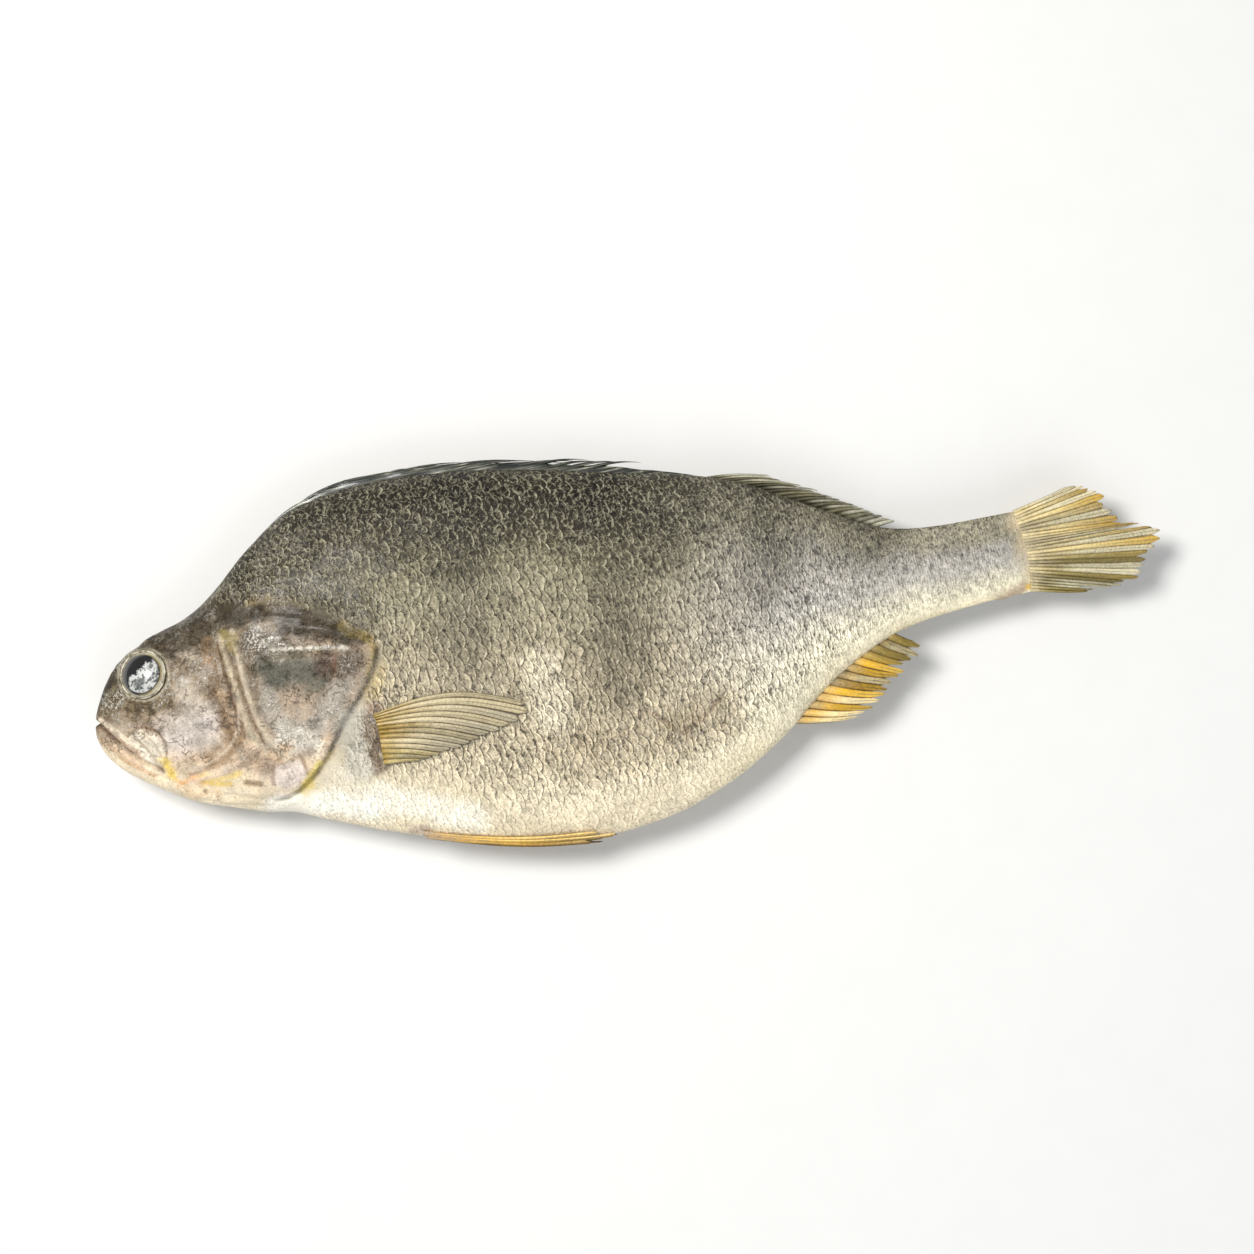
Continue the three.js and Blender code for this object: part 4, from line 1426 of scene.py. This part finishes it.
    @staticmethod
    def gill_cover(x: np.ndarray, y: np.ndarray) -> np.ndarray:
        """Gives the relief of the gill cover's free edge and the groove behind it, in millimetres.

        Args:
            x: Fish units from the snout.
            y: Fish units up from the body's axis.

        Returns:
            The height at each place.
        """
        _, signed, share = Path(GILL_EDGE).measure(x, y, 9)
        in_front = -signed
        ends = smoothstep(0, 0.1, share) * smoothstep(0, 0.08, 1 - share)
        plate = 0.75 * np.exp(-np.maximum(in_front, 0) / 2.6) * smoothstep(-0.12, 0.12, in_front)
        groove = -1.15 * hump(in_front + 0.38, 0.34)
        sunk = -0.5 * hump(in_front + 1.3, 1.1)
        return (plate + groove + sunk) * ends * (np.abs(signed) < 9)

    @staticmethod
    def eye_socket(x: np.ndarray, y: np.ndarray) -> np.ndarray:
        """Gives the hollow that the eye sits in and the raised skin round it, in millimetres.

        Args:
            x: Fish units from the snout.
            y: Fish units up from the body's axis.

        Returns:
            The height at each place.
        """
        radius = np.hypot(x - EYE_PLACE[0], y - EYE_PLACE[1])
        hollow = -2.6 * (1 - smoothstep(2.1, 2.6, radius))
        brow = (0.42 + 0.14 * ripple(x, y, 1.4, 51)) * hump(radius - 2.85, 0.26)
        furrow = (-0.25 + 0.14 * ripple(x, y, 1.7, 52)) * hump(radius - 3.4, 0.3)
        return hollow + brow + furrow

    def store_scales(
        self, mesh: bpy.types.Mesh, ring: np.ndarray, spoke: np.ndarray, stations: np.ndarray,
        arcs: np.ndarray,
    ) -> None:
        """Keeps each corner's place among the scales, so that the finish draws the same rows.

        Args:
            mesh: The body's mesh.
            ring: Each point's ring.
            spoke: Each point's place round its ring.
            stations: Each ring's place along the fish.
            arcs: Distance along the skin from the widest place, for each ring and spoke.
        """
        corners = corner_points(mesh)
        starts = np.empty(len(mesh.polygons), np.int32)
        totals = np.empty(len(mesh.polygons), np.int32)
        mesh.polygons.foreach_get("loop_start", starts)
        mesh.polygons.foreach_get("loop_total", totals)
        poly = np.repeat(np.arange(len(totals)), totals)
        corner_ring, corner_spoke = ring[corners], spoke[corners]
        pole = (corner_ring == 0) | (corner_ring == self.rings)
        furthest = np.zeros(len(totals), int)
        np.maximum.at(furthest, poly, np.where(pole, 0, corner_spoke))
        on_left = furthest[poly] <= self.left_steps
        side = np.where(on_left, 1, -1)
        back_arc = arcs[corner_ring, np.zeros_like(corner_spoke)]
        wrapped = (corner_spoke == 0) & ~on_left
        arc = np.where(wrapped, back_arc, arcs[corner_ring, corner_spoke])
        x = stations[corner_ring]
        store_uv(mesh, "scales", self.scale_coordinates(x, arc, side))

    def paint(self, mesh: bpy.types.Mesh) -> None:
        """Keeps the skin's colour at each point, and how scaly, how net-like and how bare it is.

        Args:
            mesh: The body's mesh.
        """
        x, y = self.x, self.y
        height = (y - BELLY.at(x)) / np.maximum(BACK.at(x) - BELLY.at(x), 1e-6)
        height = np.clip(height + 0.03 * ripple(x, y, 7, 41) + 0.012 * ripple(x, y, 2, 42), 0, 1)

        def graded(tints: Sequence[Colour]) -> np.ndarray:
            """Reads a row of tints at each point's height."""
            table = np.array(tints)
            return np.stack([np.interp(height, HEIGHT_STOPS, table[:, k]) for k in range(3)], axis=-1)

        apart = np.where(self.side < 0, smoothstep(0.15, 0.6, 4 * height * (1 - height)), 0.0)
        apart = apart * smoothstep(33, 40, x) * smoothstep(98, 90, x)
        x = x + apart * (1.6 + 1.2 * ripple(x, y, 13, 53))
        y = y + apart * 1.4 * ripple(x, y, 9, 54)
        to_stalk = smoothstep(57, 78, x)[:, None]
        tint = graded(HEIGHT_TINTS) * (1 - to_stalk) + graded(STALK_TINTS) * to_stalk
        for bar in BARS:
            wide = bar.half_width * (1 + 0.25 * ripple(x, y, 5, 43))
            across = hump(x - bar.x - 0.12 * (y - 8), wide)
            down = smoothstep(bar.foot - 0.16, bar.foot + 0.14, height)
            tint = tint * (1 - bar.strength * across * down)[:, None]
        _, signed, _ = Path(HEAD_END).measure(x, y, WHOLE_FISH)
        head = (1 - smoothstep(-0.5, 0.5, signed + 0.25 * ripple(x, y, 1.6, 44)))[:, None]
        tint = tint * (1 - head) + graded(HEAD_TINTS) * head
        wander_x = x + 0.32 * ripple(x, y, 1.5, 45) + 0.12 * ripple(x, y, 0.6, 47)
        wander_y = y + 0.32 * ripple(x, y, 1.5, 46) + 0.12 * ripple(x, y, 0.6, 48)
        # Painted glints lie thinly over the whole head, and as thickly as each mark says where it lies.
        glint = 0.6 * head[:, 0]
        for mark in MARKS:
            share = mark.cover(*((wander_x, wander_y) if mark.wanders else (x, y)))
            tint = tint + (np.array(mark.colour) - tint) * share[:, None]
            glint = glint + (mark.glint - glint) * share
        tint = tint * (1 + 0.07 * ripple(x, y, 3.2, 49) + 0.05 * ripple(x, y, 1.2, 50))[:, None]
        upper = head[:, 0] * smoothstep(0.16, 0.36, height)
        tint = tint * (1 - 0.1 * upper)[:, None]
        scaly = self.scaly()
        store(mesh, "tint", np.clip(tint, 0.005, 0.92))
        store(mesh, "scaly", scaly)
        store(mesh, "net", 0.3 + 0.55 * smoothstep(0.45, 0.8, height))
        store(mesh, "bare", head[:, 0] * (0.5 + 0.5 * smoothstep(0.1, 0.28, height)))
        store(mesh, "glint", np.clip(glint, 0, 1.5))


# ---------------------------------------------------------------------------------------------------
# Fins
# ---------------------------------------------------------------------------------------------------

Track = Callable[[np.ndarray], tuple[np.ndarray, np.ndarray]]
WALL_LEVELS = 24  # steps in which a fin's thickness is kept
PECTORAL_PIVOT = (31.0, -7.4)
PECTORAL_SWEEP_DEG = -30.0
PECTORAL_SLANT = 0.6  # how much of the sweep slants the fin's root


def track(points: Points, bend: float = 1.0) -> Track:
    """Makes a smooth line that is read from 0 at its first place to 1 at its last.

    Args:
        points: The places that it goes through.
        bend: Above 1, shares near 0 lie closer together on the line.

    Returns:
        A function of shares that gives their places.
    """
    line = Path(points).samples(12)
    lengths = np.concatenate([[0], np.cumsum(np.hypot(*np.diff(line, axis=0).T))])

    def read(share: np.ndarray) -> tuple[np.ndarray, np.ndarray]:
        """Gives the places at shares of the line's length."""
        at = share**bend * lengths[-1]
        return np.interp(at, lengths, line[:, 0]), np.interp(at, lengths, line[:, 1])

    return read


@dataclass
class Fan:
    """A fin: rays that run from a root to a ragged edge, with thin skin between them."""

    name: str
    node: str
    slot: str
    finish: FinFinish
    rays: int
    root: Track
    edge: Track
    seed: int
    bow: float = 0.0  # how far rays curve aside, as a share of their length
    bow_fade: float = 0.0  # how much straighter the rays are at the fin's far side
    torn: float = 0.12  # how far the skin is torn back between the rays' ends
    uneven: float = 0.06  # how unequal the rays' lengths are
    ray_mm: float = 0.95
    base_mm: float = 0.0  # extra thickness where the rays leave the body
    skin_mm: float = 0.3
    waver_mm: float = 0.5
    steps: int = 44
    per_ray: int = 6
    flank: Flank | None = None  # the flank that the fin lies on, or None for the middle plane
    lift_mm: float = 0.0  # how far the fin lies above the plain skin
    plane_mm: float = 0.0  # distance from the middle plane where it hangs free, below zero on the right
    drapes: bool = False  # lies over the skin where it overlaps the body
    splits: Points = ()  # place across the fin, and share of the length that a tear there takes

    def build(self) -> Any:
        """Models the fin.

        Returns:
            The object.
        """
        bm = bmesh.new()
        across = self.rays * self.per_ray
        bmesh.ops.create_grid(bm, x_segments=across, y_segments=self.steps, size=0.5)
        piece = add_piece(self.name, bm, self.finish.material(self.rays), self.node, self.slot)
        mesh = piece.data
        flat = read_points(mesh)
        s, t = flat[:, 0] + 0.5, flat[:, 1] + 0.5
        number = np.minimum(np.floor(s * self.rays), self.rays - 1)
        off = np.abs(s * self.rays - number - 0.5) * 2
        draw = np.random.default_rng(self.seed)
        lengths = 1 - self.uneven * draw.uniform(0, 1, self.rays) * 2
        tears = draw.uniform(0.5, 1.4, self.rays)
        ray_at = number.astype(int)
        shares = lengths[ray_at] - self.torn * smoothstep(0.25, 1.0, off) * tears[ray_at]
        for place, share in self.splits:
            shares = shares - share * hump((s - place) * self.rays, 0.7)
        root_x, root_y = self.root(s)
        edge_x, edge_y = self.edge(s)
        run = t * np.clip(shares, 0.1, 1)
        dx, dy = edge_x - root_x, edge_y - root_y
        bend = self.bow * (1 - self.bow_fade * s) * np.sin(np.pi * run)
        x = root_x + dx * run - dy * bend
        y = root_y + dy * run + dx * bend
        fray = smoothstep(0.55, 1, run) * 0.12
        y = y + fray * ripple(number * 3.1, run * 5, 2, self.seed + 1)
        waver = ripple(x, y, 4, self.seed + 2) * smoothstep(0.05, 0.5, t) * self.waver_mm
        ray = 1 - smoothstep(0.3, 0.8, off)
        z = self.height(x, y, waver + 0.25 * ray)
        write_points(mesh, FORM.place(x, y, z))
        corners = corner_points(mesh)
        store_uv(mesh, "rays", np.stack([s[corners] * self.rays * 0.999, run[corners]], axis=-1))
        self.thicken(piece, ray, t)
        return piece

    def height(self, x: np.ndarray, y: np.ndarray, waver: np.ndarray) -> np.ndarray:
        """Gives each point's distance from the middle plane, in metres.

        Args:
            x: Fish units from the snout.
            y: Fish units up from the body's axis.
            waver: How far the sheet wavers at each point, in millimetres.

        Returns:
            The distance at each point, above zero on the left.
        """
        if self.flank is None:
            aside = abs(self.plane_mm) * MM
            if self.drapes:
                aside = np.maximum(aside, FORM.half_thickness(x, y) + self.lift_mm * MM)
            return math.copysign(1, self.plane_mm) * aside + waver * MM
        skin = FORM.half_thickness(x, y) + (self.lift_mm + 0.5 * waver) * MM
        if self.flank is Flank.RIGHT:
            return -np.minimum(skin, FORM.middle_z - 0.4 * MM)
        return skin

    def thicken(self, piece: Any, ray: np.ndarray, along: np.ndarray) -> None:
        """Gives the sheet its thickness, more at the rays than between them, and less at the edge.

        Args:
            piece: The fin.
            ray: How close each point lies to the middle of a ray, 0 to 1.
            along: How far each point lies from the root, as a share of the sheet.
        """
        group = piece.vertex_groups.new(name="rays")
        most = self.ray_mm + self.base_mm
        sheet = (self.skin_mm + (self.ray_mm - self.skin_mm) * ray) * (1 - 0.6 * along)
        weights = (sheet + self.base_mm * (1 - smoothstep(0, 0.22, along))) / most
        levels = np.round(weights * WALL_LEVELS).astype(int)
        for level in np.unique(levels):
            group.add(np.nonzero(levels == level)[0].tolist(), float(level) / WALL_LEVELS, "REPLACE")
        wall = piece.modifiers.new("wall", "SOLIDIFY")
        wall.thickness = most * MM
        wall.offset = 0.0
        wall.vertex_group = "rays"
        wall.use_rim = True


def along_outline(profile: Profile, first: float, last: float, offset: float, steps: int = 12) -> Points:
    """Gives places along the back or the belly, moved up or down by an offset."""
    x = np.linspace(first, last, steps)
    return tuple((float(a), float(b) + offset) for a, b in zip(x, profile.at(x)))


def fans() -> Iterable[Fan]:
    """Lists the fins that are fans of rays.

    Returns:
        Each fin, ready to build.
    """
    yield Fan(
        "tail_rays", "caudal_fin", "pale_fin", TAIL_FIN, 27,
        track(((101.2, 3.3), (101.6, 1), (101.8, -1.2), (101.7, -3.4), (101.4, -5.6))),
        track(((107.8, 4.7), (110.2, 4.1), (111.4, 2.7), (112.0, 1.1), (112.6, -0.2), (116.2, -1.2),
               (116.9, -2.6), (115.6, -4.4), (113.8, -5.8), (112.0, -6.8), (107.0, -7.0))),
        seed=3, torn=0.05, uneven=0.035, bow=0.0, ray_mm=0.9, base_mm=0.7, steps=60, per_ray=5,
        splits=((0.44, 0.22), (0.62, 0.1), (0.9, 0.3), (0.2, 0.06)),
    )
    yield Fan(
        "anal_rays", "anal_fin", "orange_fin", GOLD_FIN, 13,
        track(along_outline(BELLY, 73.2, 85.6, 0.9)),
        track(((80.9, -15.3), (82.6, -14.6), (84.2, -13), (86.0, -11.4), (88.2, -9.9), (88.8, -8.8))),
        seed=5, torn=0.19, uneven=0.06, bow=-0.03, ray_mm=1.0, base_mm=0.6,
    )
    yield Fan(
        "soft_dorsal_rays", "soft_dorsal_fin", "dark_fin", DARK_FIN, 20,
        track(along_outline(BACK, 68.6, 86.4, -0.5)),
        track(((77.0, 12.1), (79.6, 10.5), (82.6, 8.7), (85.4, 7.0), (88.0, 5.5), (89.4, 4.6))),
        seed=7, torn=0.2, uneven=0.1, bow=0.05, ray_mm=0.9, base_mm=0.5,
    )
    pectoral_root = ((30.1, -4.3), (30.2, -5.0), (30.3, -6.2), (30.2, -7.8), (30.1, -9.8))
    pectoral_edge = (
        (46.0, -6.0), (46.6, -6.9), (45.4, -8.0), (42.4, -8.9), (39.4, -9.4), (36.2, -9.8), (33.0, -10.0),
    )
    pectorals = ((Flank.LEFT, 9, 0.8, 0.35, 0.3), (Flank.RIGHT, 10, 0.5, 0.05, 0.2))
    for flank, seed, ray_mm, lift_mm, waver_mm in pectorals:
        yield Fan(
            f"pectoral_rays_{flank.name.lower()}", f"pectoral_fin_{flank.name.lower()}", "pale_fin",
            CREAM_FIN, 13,
            track(swept(pectoral_root, flank), 1.5), track(swept(pectoral_edge, flank)),
            seed=seed, torn=0.03, uneven=0.02, bow=0.1, bow_fade=0.9, ray_mm=ray_mm, flank=flank,
            lift_mm=lift_mm, waver_mm=waver_mm,
        )
    for flank in Flank:
        yield Fan(
            f"pelvic_rays_{flank.name.lower()}", f"pelvic_fin_{flank.name.lower()}", "orange_fin",
            BELLY_FIN, 6,
            track(((32.6, -17.7), (32.7, -18.4))),
            track(((54.4, -21.5), (54.0, -22.2), (51.6, -22.85))),
            seed=13 + flank.value, torn=0.1, uneven=0.1, bow=-0.038, ray_mm=1.3, steps=60,
            plane_mm=2.5 * flank.value, waver_mm=0.2, drapes=True, lift_mm=0.3,
        )


def swept(line: Points, flank: Flank) -> Points:
    """Sweeps the right pectoral fin down about its root, and leaves the left one.

    Args:
        line: Places on the left fin.
        flank: The flank that the fin lies on.

    Returns:
        The places on that flank's fin.
    """
    if flank is Flank.LEFT:
        return line
    angle = math.radians(PECTORAL_SWEEP_DEG)
    pivot_x, pivot_y = PECTORAL_PIVOT
    out = []
    for x, y in line:
        dx, dy = x - pivot_x, y - pivot_y
        out.append((
            pivot_x + dx * math.cos(angle) - dy * math.sin(angle) * PECTORAL_SLANT,
            pivot_y + dx * math.sin(angle) + dy * math.cos(angle),
        ))
    return tuple(out)


@dataclass
class SpinyDorsal:
    """The front back fin, folded down: long spines that overlap, with dark skin under them."""

    spines: int = 16
    first: float = 25.5
    last: float = 56.5
    length: float = 11.5
    radius_mm: float = 0.62
    sunk: float = 0.1  # how far the spines and the skin are set into the ridge
    skin_first: float = 22.4
    skin_length: float = 46.2
    skin_rise: float = 0.85
    skin_half_mm: float = 1.05
    seed: int = 17

    def build(self) -> Any:
        """Models the spines and the folded skin.

        Returns:
            The object.
        """
        draw = np.random.default_rng(self.seed)
        bm = bmesh.new()
        for i in range(self.spines):
            share = i / (self.spines - 1)
            x = self.first + (self.last - self.first) * share
            size = self.length * (0.6 + 0.4 * math.sin(math.pi * min(share + 0.15, 1)))
            rise = 0.7 + 0.5 * share + float(draw.uniform(-0.2, 0.2))
            self.add_spine(bm, x, size, float(draw.uniform(-0.45, 0.45)), rise)
        self.add_skin(bm)
        return add_piece("dorsal_spines", bm, self.dark_material(), "spiny_dorsal_fin", "dark_fin")

    def add_spine(self, bm: bmesh.types.BMesh, x: float, size: float, aside: float, rise: float) -> None:
        """Adds one tapered spine that lies back along the ridge and bends with it.

        Args:
            bm: The fin's shape.
            x: The spine's root, in fish units.
            size: Its length, in fish units.
            aside: How far it lies from the middle plane, in millimetres.
            rise: How far its tip stands over the ridge, in fish units.
        """
        made = bmesh.ops.create_uvsphere(bm, u_segments=10, v_segments=28, radius=1.0)
        for vert in made["verts"]:
            share = (1 - vert.co.z) / 2
            girth = (4 * share) ** 0.5 if share < 0.25 else (1 - share) / 0.75
            turn = math.atan2(vert.co.y, vert.co.x)
            along = x + size * share
            up = BACK.one(along) - self.sunk + rise * math.sin(share * math.pi * 0.62)
            reach = self.radius_mm * MM * girth
            middle = FORM.point(along, up, aside * MM * share)
            tip = 0.0 < share < 1.0
            vert.co = middle + Vector((0, math.cos(turn), 0.8 * math.sin(turn))) * reach * tip

    def add_skin(self, bm: bmesh.types.BMesh) -> None:
        """Adds the folded skin as one low ridge along the back.

        Args:
            bm: The fin's shape.
        """
        made = bmesh.ops.create_uvsphere(bm, u_segments=20, v_segments=220, radius=1.0)
        for vert in made["verts"]:
            share = math.acos(max(-1.0, min(1.0, vert.co.z))) / math.pi
            turn = math.atan2(vert.co.y, vert.co.x)
            girth = min(1.0, 5 * share, 5 * (1 - share)) * (1 - 0.3 * share)
            x = self.skin_first + self.skin_length * share
            crest = 1 + 0.1 * math.sin(share * 41) + 0.06 * math.sin(share * 97 + 1.3)
            y = BACK.one(x) - self.sunk + girth * self.skin_rise * crest * math.cos(turn)
            z = (self.skin_half_mm * math.sin(turn) + 0.15 * math.sin(share * 60)) * MM * girth
            vert.co = FORM.point(x, y, z)
        bmesh.ops.recalc_face_normals(bm, faces=bm.faces[:])

    @staticmethod
    def dark_material() -> bpy.types.Material:
        """Makes dark horn with paler streaks along it, the palest of them painted highlights.

        Returns:
            The material.
        """
        g = Graph("dark_spines")
        here = g.here()
        drawn = {"Vector": here, "Scale": (60.0, 1300.0, 900.0)}
        streak = g.noise(g.add("ShaderNodeMapping", {}, drawn), 1.0, 3.0, 0.6)
        soft = g.noise(here, 120, 3.0)
        colour = g.mix(streak.step(0.46, 0.62), (0.012, 0.014, 0.011), (0.12, 0.122, 0.085))
        # The palest streaks: painted highlights along the spines.
        colour = g.mix(streak.step(0.57, 0.66) * soft.step(0.42, 0.56), colour, (0.46, 0.45, 0.36))
        return g.finish(
            streak, 0.0003, Base_Color=colour, Roughness=0.22 + 0.25 * soft,
            Coat_Weight=0.35, Coat_Roughness=0.12,
        )


# ---------------------------------------------------------------------------------------------------
# Eyes
# ---------------------------------------------------------------------------------------------------


@dataclass
class Eye:
    """One eye: a lens-shaped ball in its socket, with a thin horny ring round it."""

    flank: Flank
    radius_mm: float = 7.5
    bulge_mm: float = 4.0
    sink_mm: float = 1.5
    ring_mm: float = 7.35
    ring_lift_mm: float = 1.55
    ring_section_mm: float = 0.32

    def placement(self) -> Matrix:
        """Gives the matrix that puts the eye, which faces +Z, in its socket.

        Returns:
            The matrix.
        """
        x, y = EYE_PLACE
        out = FORM.facing(x, y, self.flank)
        skin = float(FORM.half_thickness(np.array(x), np.array(y))) * self.flank.value
        centre = FORM.point(x, y, skin) - out * self.sink_mm * MM
        turn = Vector((0, 0, self.flank.value)).rotation_difference(out)
        flip = Matrix.Identity(4) if self.flank is Flank.LEFT else Matrix.Scale(-1, 4, Vector((0, 0, 1)))
        return Matrix.Translation(centre) @ turn.to_matrix().to_4x4() @ flip

    def build(self) -> list[Any]:
        """Models the ball and the ring.

        Returns:
            The two objects.
        """
        name = self.flank.name.lower()
        bm = bmesh.new()
        size = Matrix.Diagonal((self.radius_mm * MM, self.radius_mm * MM, self.bulge_mm * MM, 1))
        bmesh.ops.create_uvsphere(bm, u_segments=72, v_segments=40, radius=1.0)
        flat = np.array([v.co[:2] for v in bm.verts])
        bmesh.ops.transform(bm, matrix=self.placement() @ size, verts=bm.verts[:])
        bmesh.ops.recalc_face_normals(bm, faces=bm.faces[:])
        ball = add_piece(f"eyeball_{name}", bm, EyeFinish().material(), f"eye_{name}", "eye")
        store_uv(ball.data, "iris", flat[corner_points(ball.data)])
        return [ball, self.build_ring(name)]

    def build_ring(self, name: str) -> Any:
        """Models the ring by turning a small round section about the eye's axis.

        Args:
            name: The flank's name.

        Returns:
            The object.
        """
        bm = bmesh.new()
        middle = Matrix.Translation((self.ring_mm * MM, 0, self.ring_lift_mm * MM))
        place = middle @ Matrix.Rotation(math.pi / 2, 4, "X")
        section = bmesh.ops.create_circle(bm, segments=12, radius=self.ring_section_mm * MM, matrix=place)
        bmesh.ops.spin(
            bm, geom=[*section["verts"], *bm.edges[:]], axis=(0, 0, 1), cent=(0, 0, 0),
            angle=2 * math.pi, steps=96, use_merge=True, use_duplicate=False,
        )
        bmesh.ops.remove_doubles(bm, verts=bm.verts[:], dist=1e-6)
        bmesh.ops.transform(bm, matrix=self.placement(), verts=bm.verts[:])
        bmesh.ops.recalc_face_normals(bm, faces=bm.faces[:])
        return add_piece(f"eye_ring_{name}", bm, RimFinish().material(), f"eye_{name}", "eye")


# ---------------------------------------------------------------------------------------------------
# Floor, lights and camera
# ---------------------------------------------------------------------------------------------------


@dataclass(frozen=True)
class SoftLight:
    """A soft square light that points at the fish."""

    name: str
    place: tuple[float, float, float]
    size: float
    power: float
    colour: Colour

    def add(self) -> None:
        """Hangs the light."""
        data = bpy.data.lights.new(self.name, "AREA")
        data.size = self.size
        data.energy = self.power
        data.color = self.colour
        light = bpy.data.objects.new(self.name, data)
        light.location = self.place
        light.rotation_euler = (-Vector(self.place)).to_track_quat("-Z", "Y").to_euler()
        bpy.context.scene.collection.objects.link(light)


LIGHTS = (
    SoftLight("key", (-0.45, 0.42, 1.1), size=0.4, power=15.0, colour=(1.0, 0.985, 0.95)),
    SoftLight("fill", (0.35, -0.9, 0.9), size=1.1, power=5.5, colour=(0.95, 0.975, 1.0)),
)


@dataclass
class Studio:
    """A pale floor, soft lights and a camera that looks straight down."""

    tilt_deg: float = 11.6  # how far the fish's tail points up in the picture
    fill: float = 0.88  # share of the picture's width that the fish takes
    lens_mm: float = 85.0
    sensor_mm: float = 36.0
    floor_reach: float = 3.0
    sky: Colour = (0.93, 0.96, 1.0)
    sky_strength: float = 0.36

    def build(self) -> None:
        """Sets the scene up."""
        self.build_floor()
        self.build_lights()
        self.build_camera()

    def build_floor(self) -> None:
        """Lays the floor under the fish."""
        bm = bmesh.new()
        bmesh.ops.create_grid(bm, x_segments=2, y_segments=2, size=self.floor_reach)
        mesh = bpy.data.meshes.new("floor")
        bm.to_mesh(mesh)
        bm.free()
        mesh.materials.append(FloorFinish().material())
        floor = bpy.data.objects.new("floor", mesh)
        bpy.context.scene.collection.objects.link(floor)

    def build_lights(self) -> None:
        """Adds the key, a weaker fill and the pale surroundings."""
        for light in LIGHTS:
            light.add()
        world = bpy.data.worlds.new("surroundings")
        world.use_nodes = True
        background = world.node_tree.nodes["Background"]
        background.inputs["Color"].default_value = (*self.sky, 1.0)
        background.inputs["Strength"].default_value = self.sky_strength
        bpy.context.scene.world = world

    def build_camera(self) -> None:
        """Puts the camera over the middle of the fish and turns it by the tilt."""
        low, high = CAD_BOX
        tilt = math.radians(self.tilt_deg)
        wide = (high.x - low.x) * math.cos(tilt) + (high.y - low.y) * math.sin(tilt) * 0.5
        distance = wide / self.fill * self.lens_mm / self.sensor_mm
        data = bpy.data.cameras.new("camera")
        data.lens = self.lens_mm
        data.sensor_width = self.sensor_mm
        camera = bpy.data.objects.new("camera", data)
        camera.location = ((low.x + high.x) / 2, (low.y + high.y) / 2, distance + FORM.middle_z)
        camera.rotation_euler = (0, 0, -tilt)
        bpy.context.scene.collection.objects.link(camera)
        bpy.context.scene.camera = camera
        bpy.context.scene.view_settings.view_transform = "Standard"


def main() -> None:
    """Builds the fish and sets it in the studio."""
    logging.basicConfig(level=logging.INFO, format="%(name)s: %(message)s")
    Studio().build()
    Body().build()
    for fan in fans():
        fan.build()
    SpinyDorsal().build()
    for flank in Flank:
        Eye(flank).build()


if __name__ == "__main__":
    main()
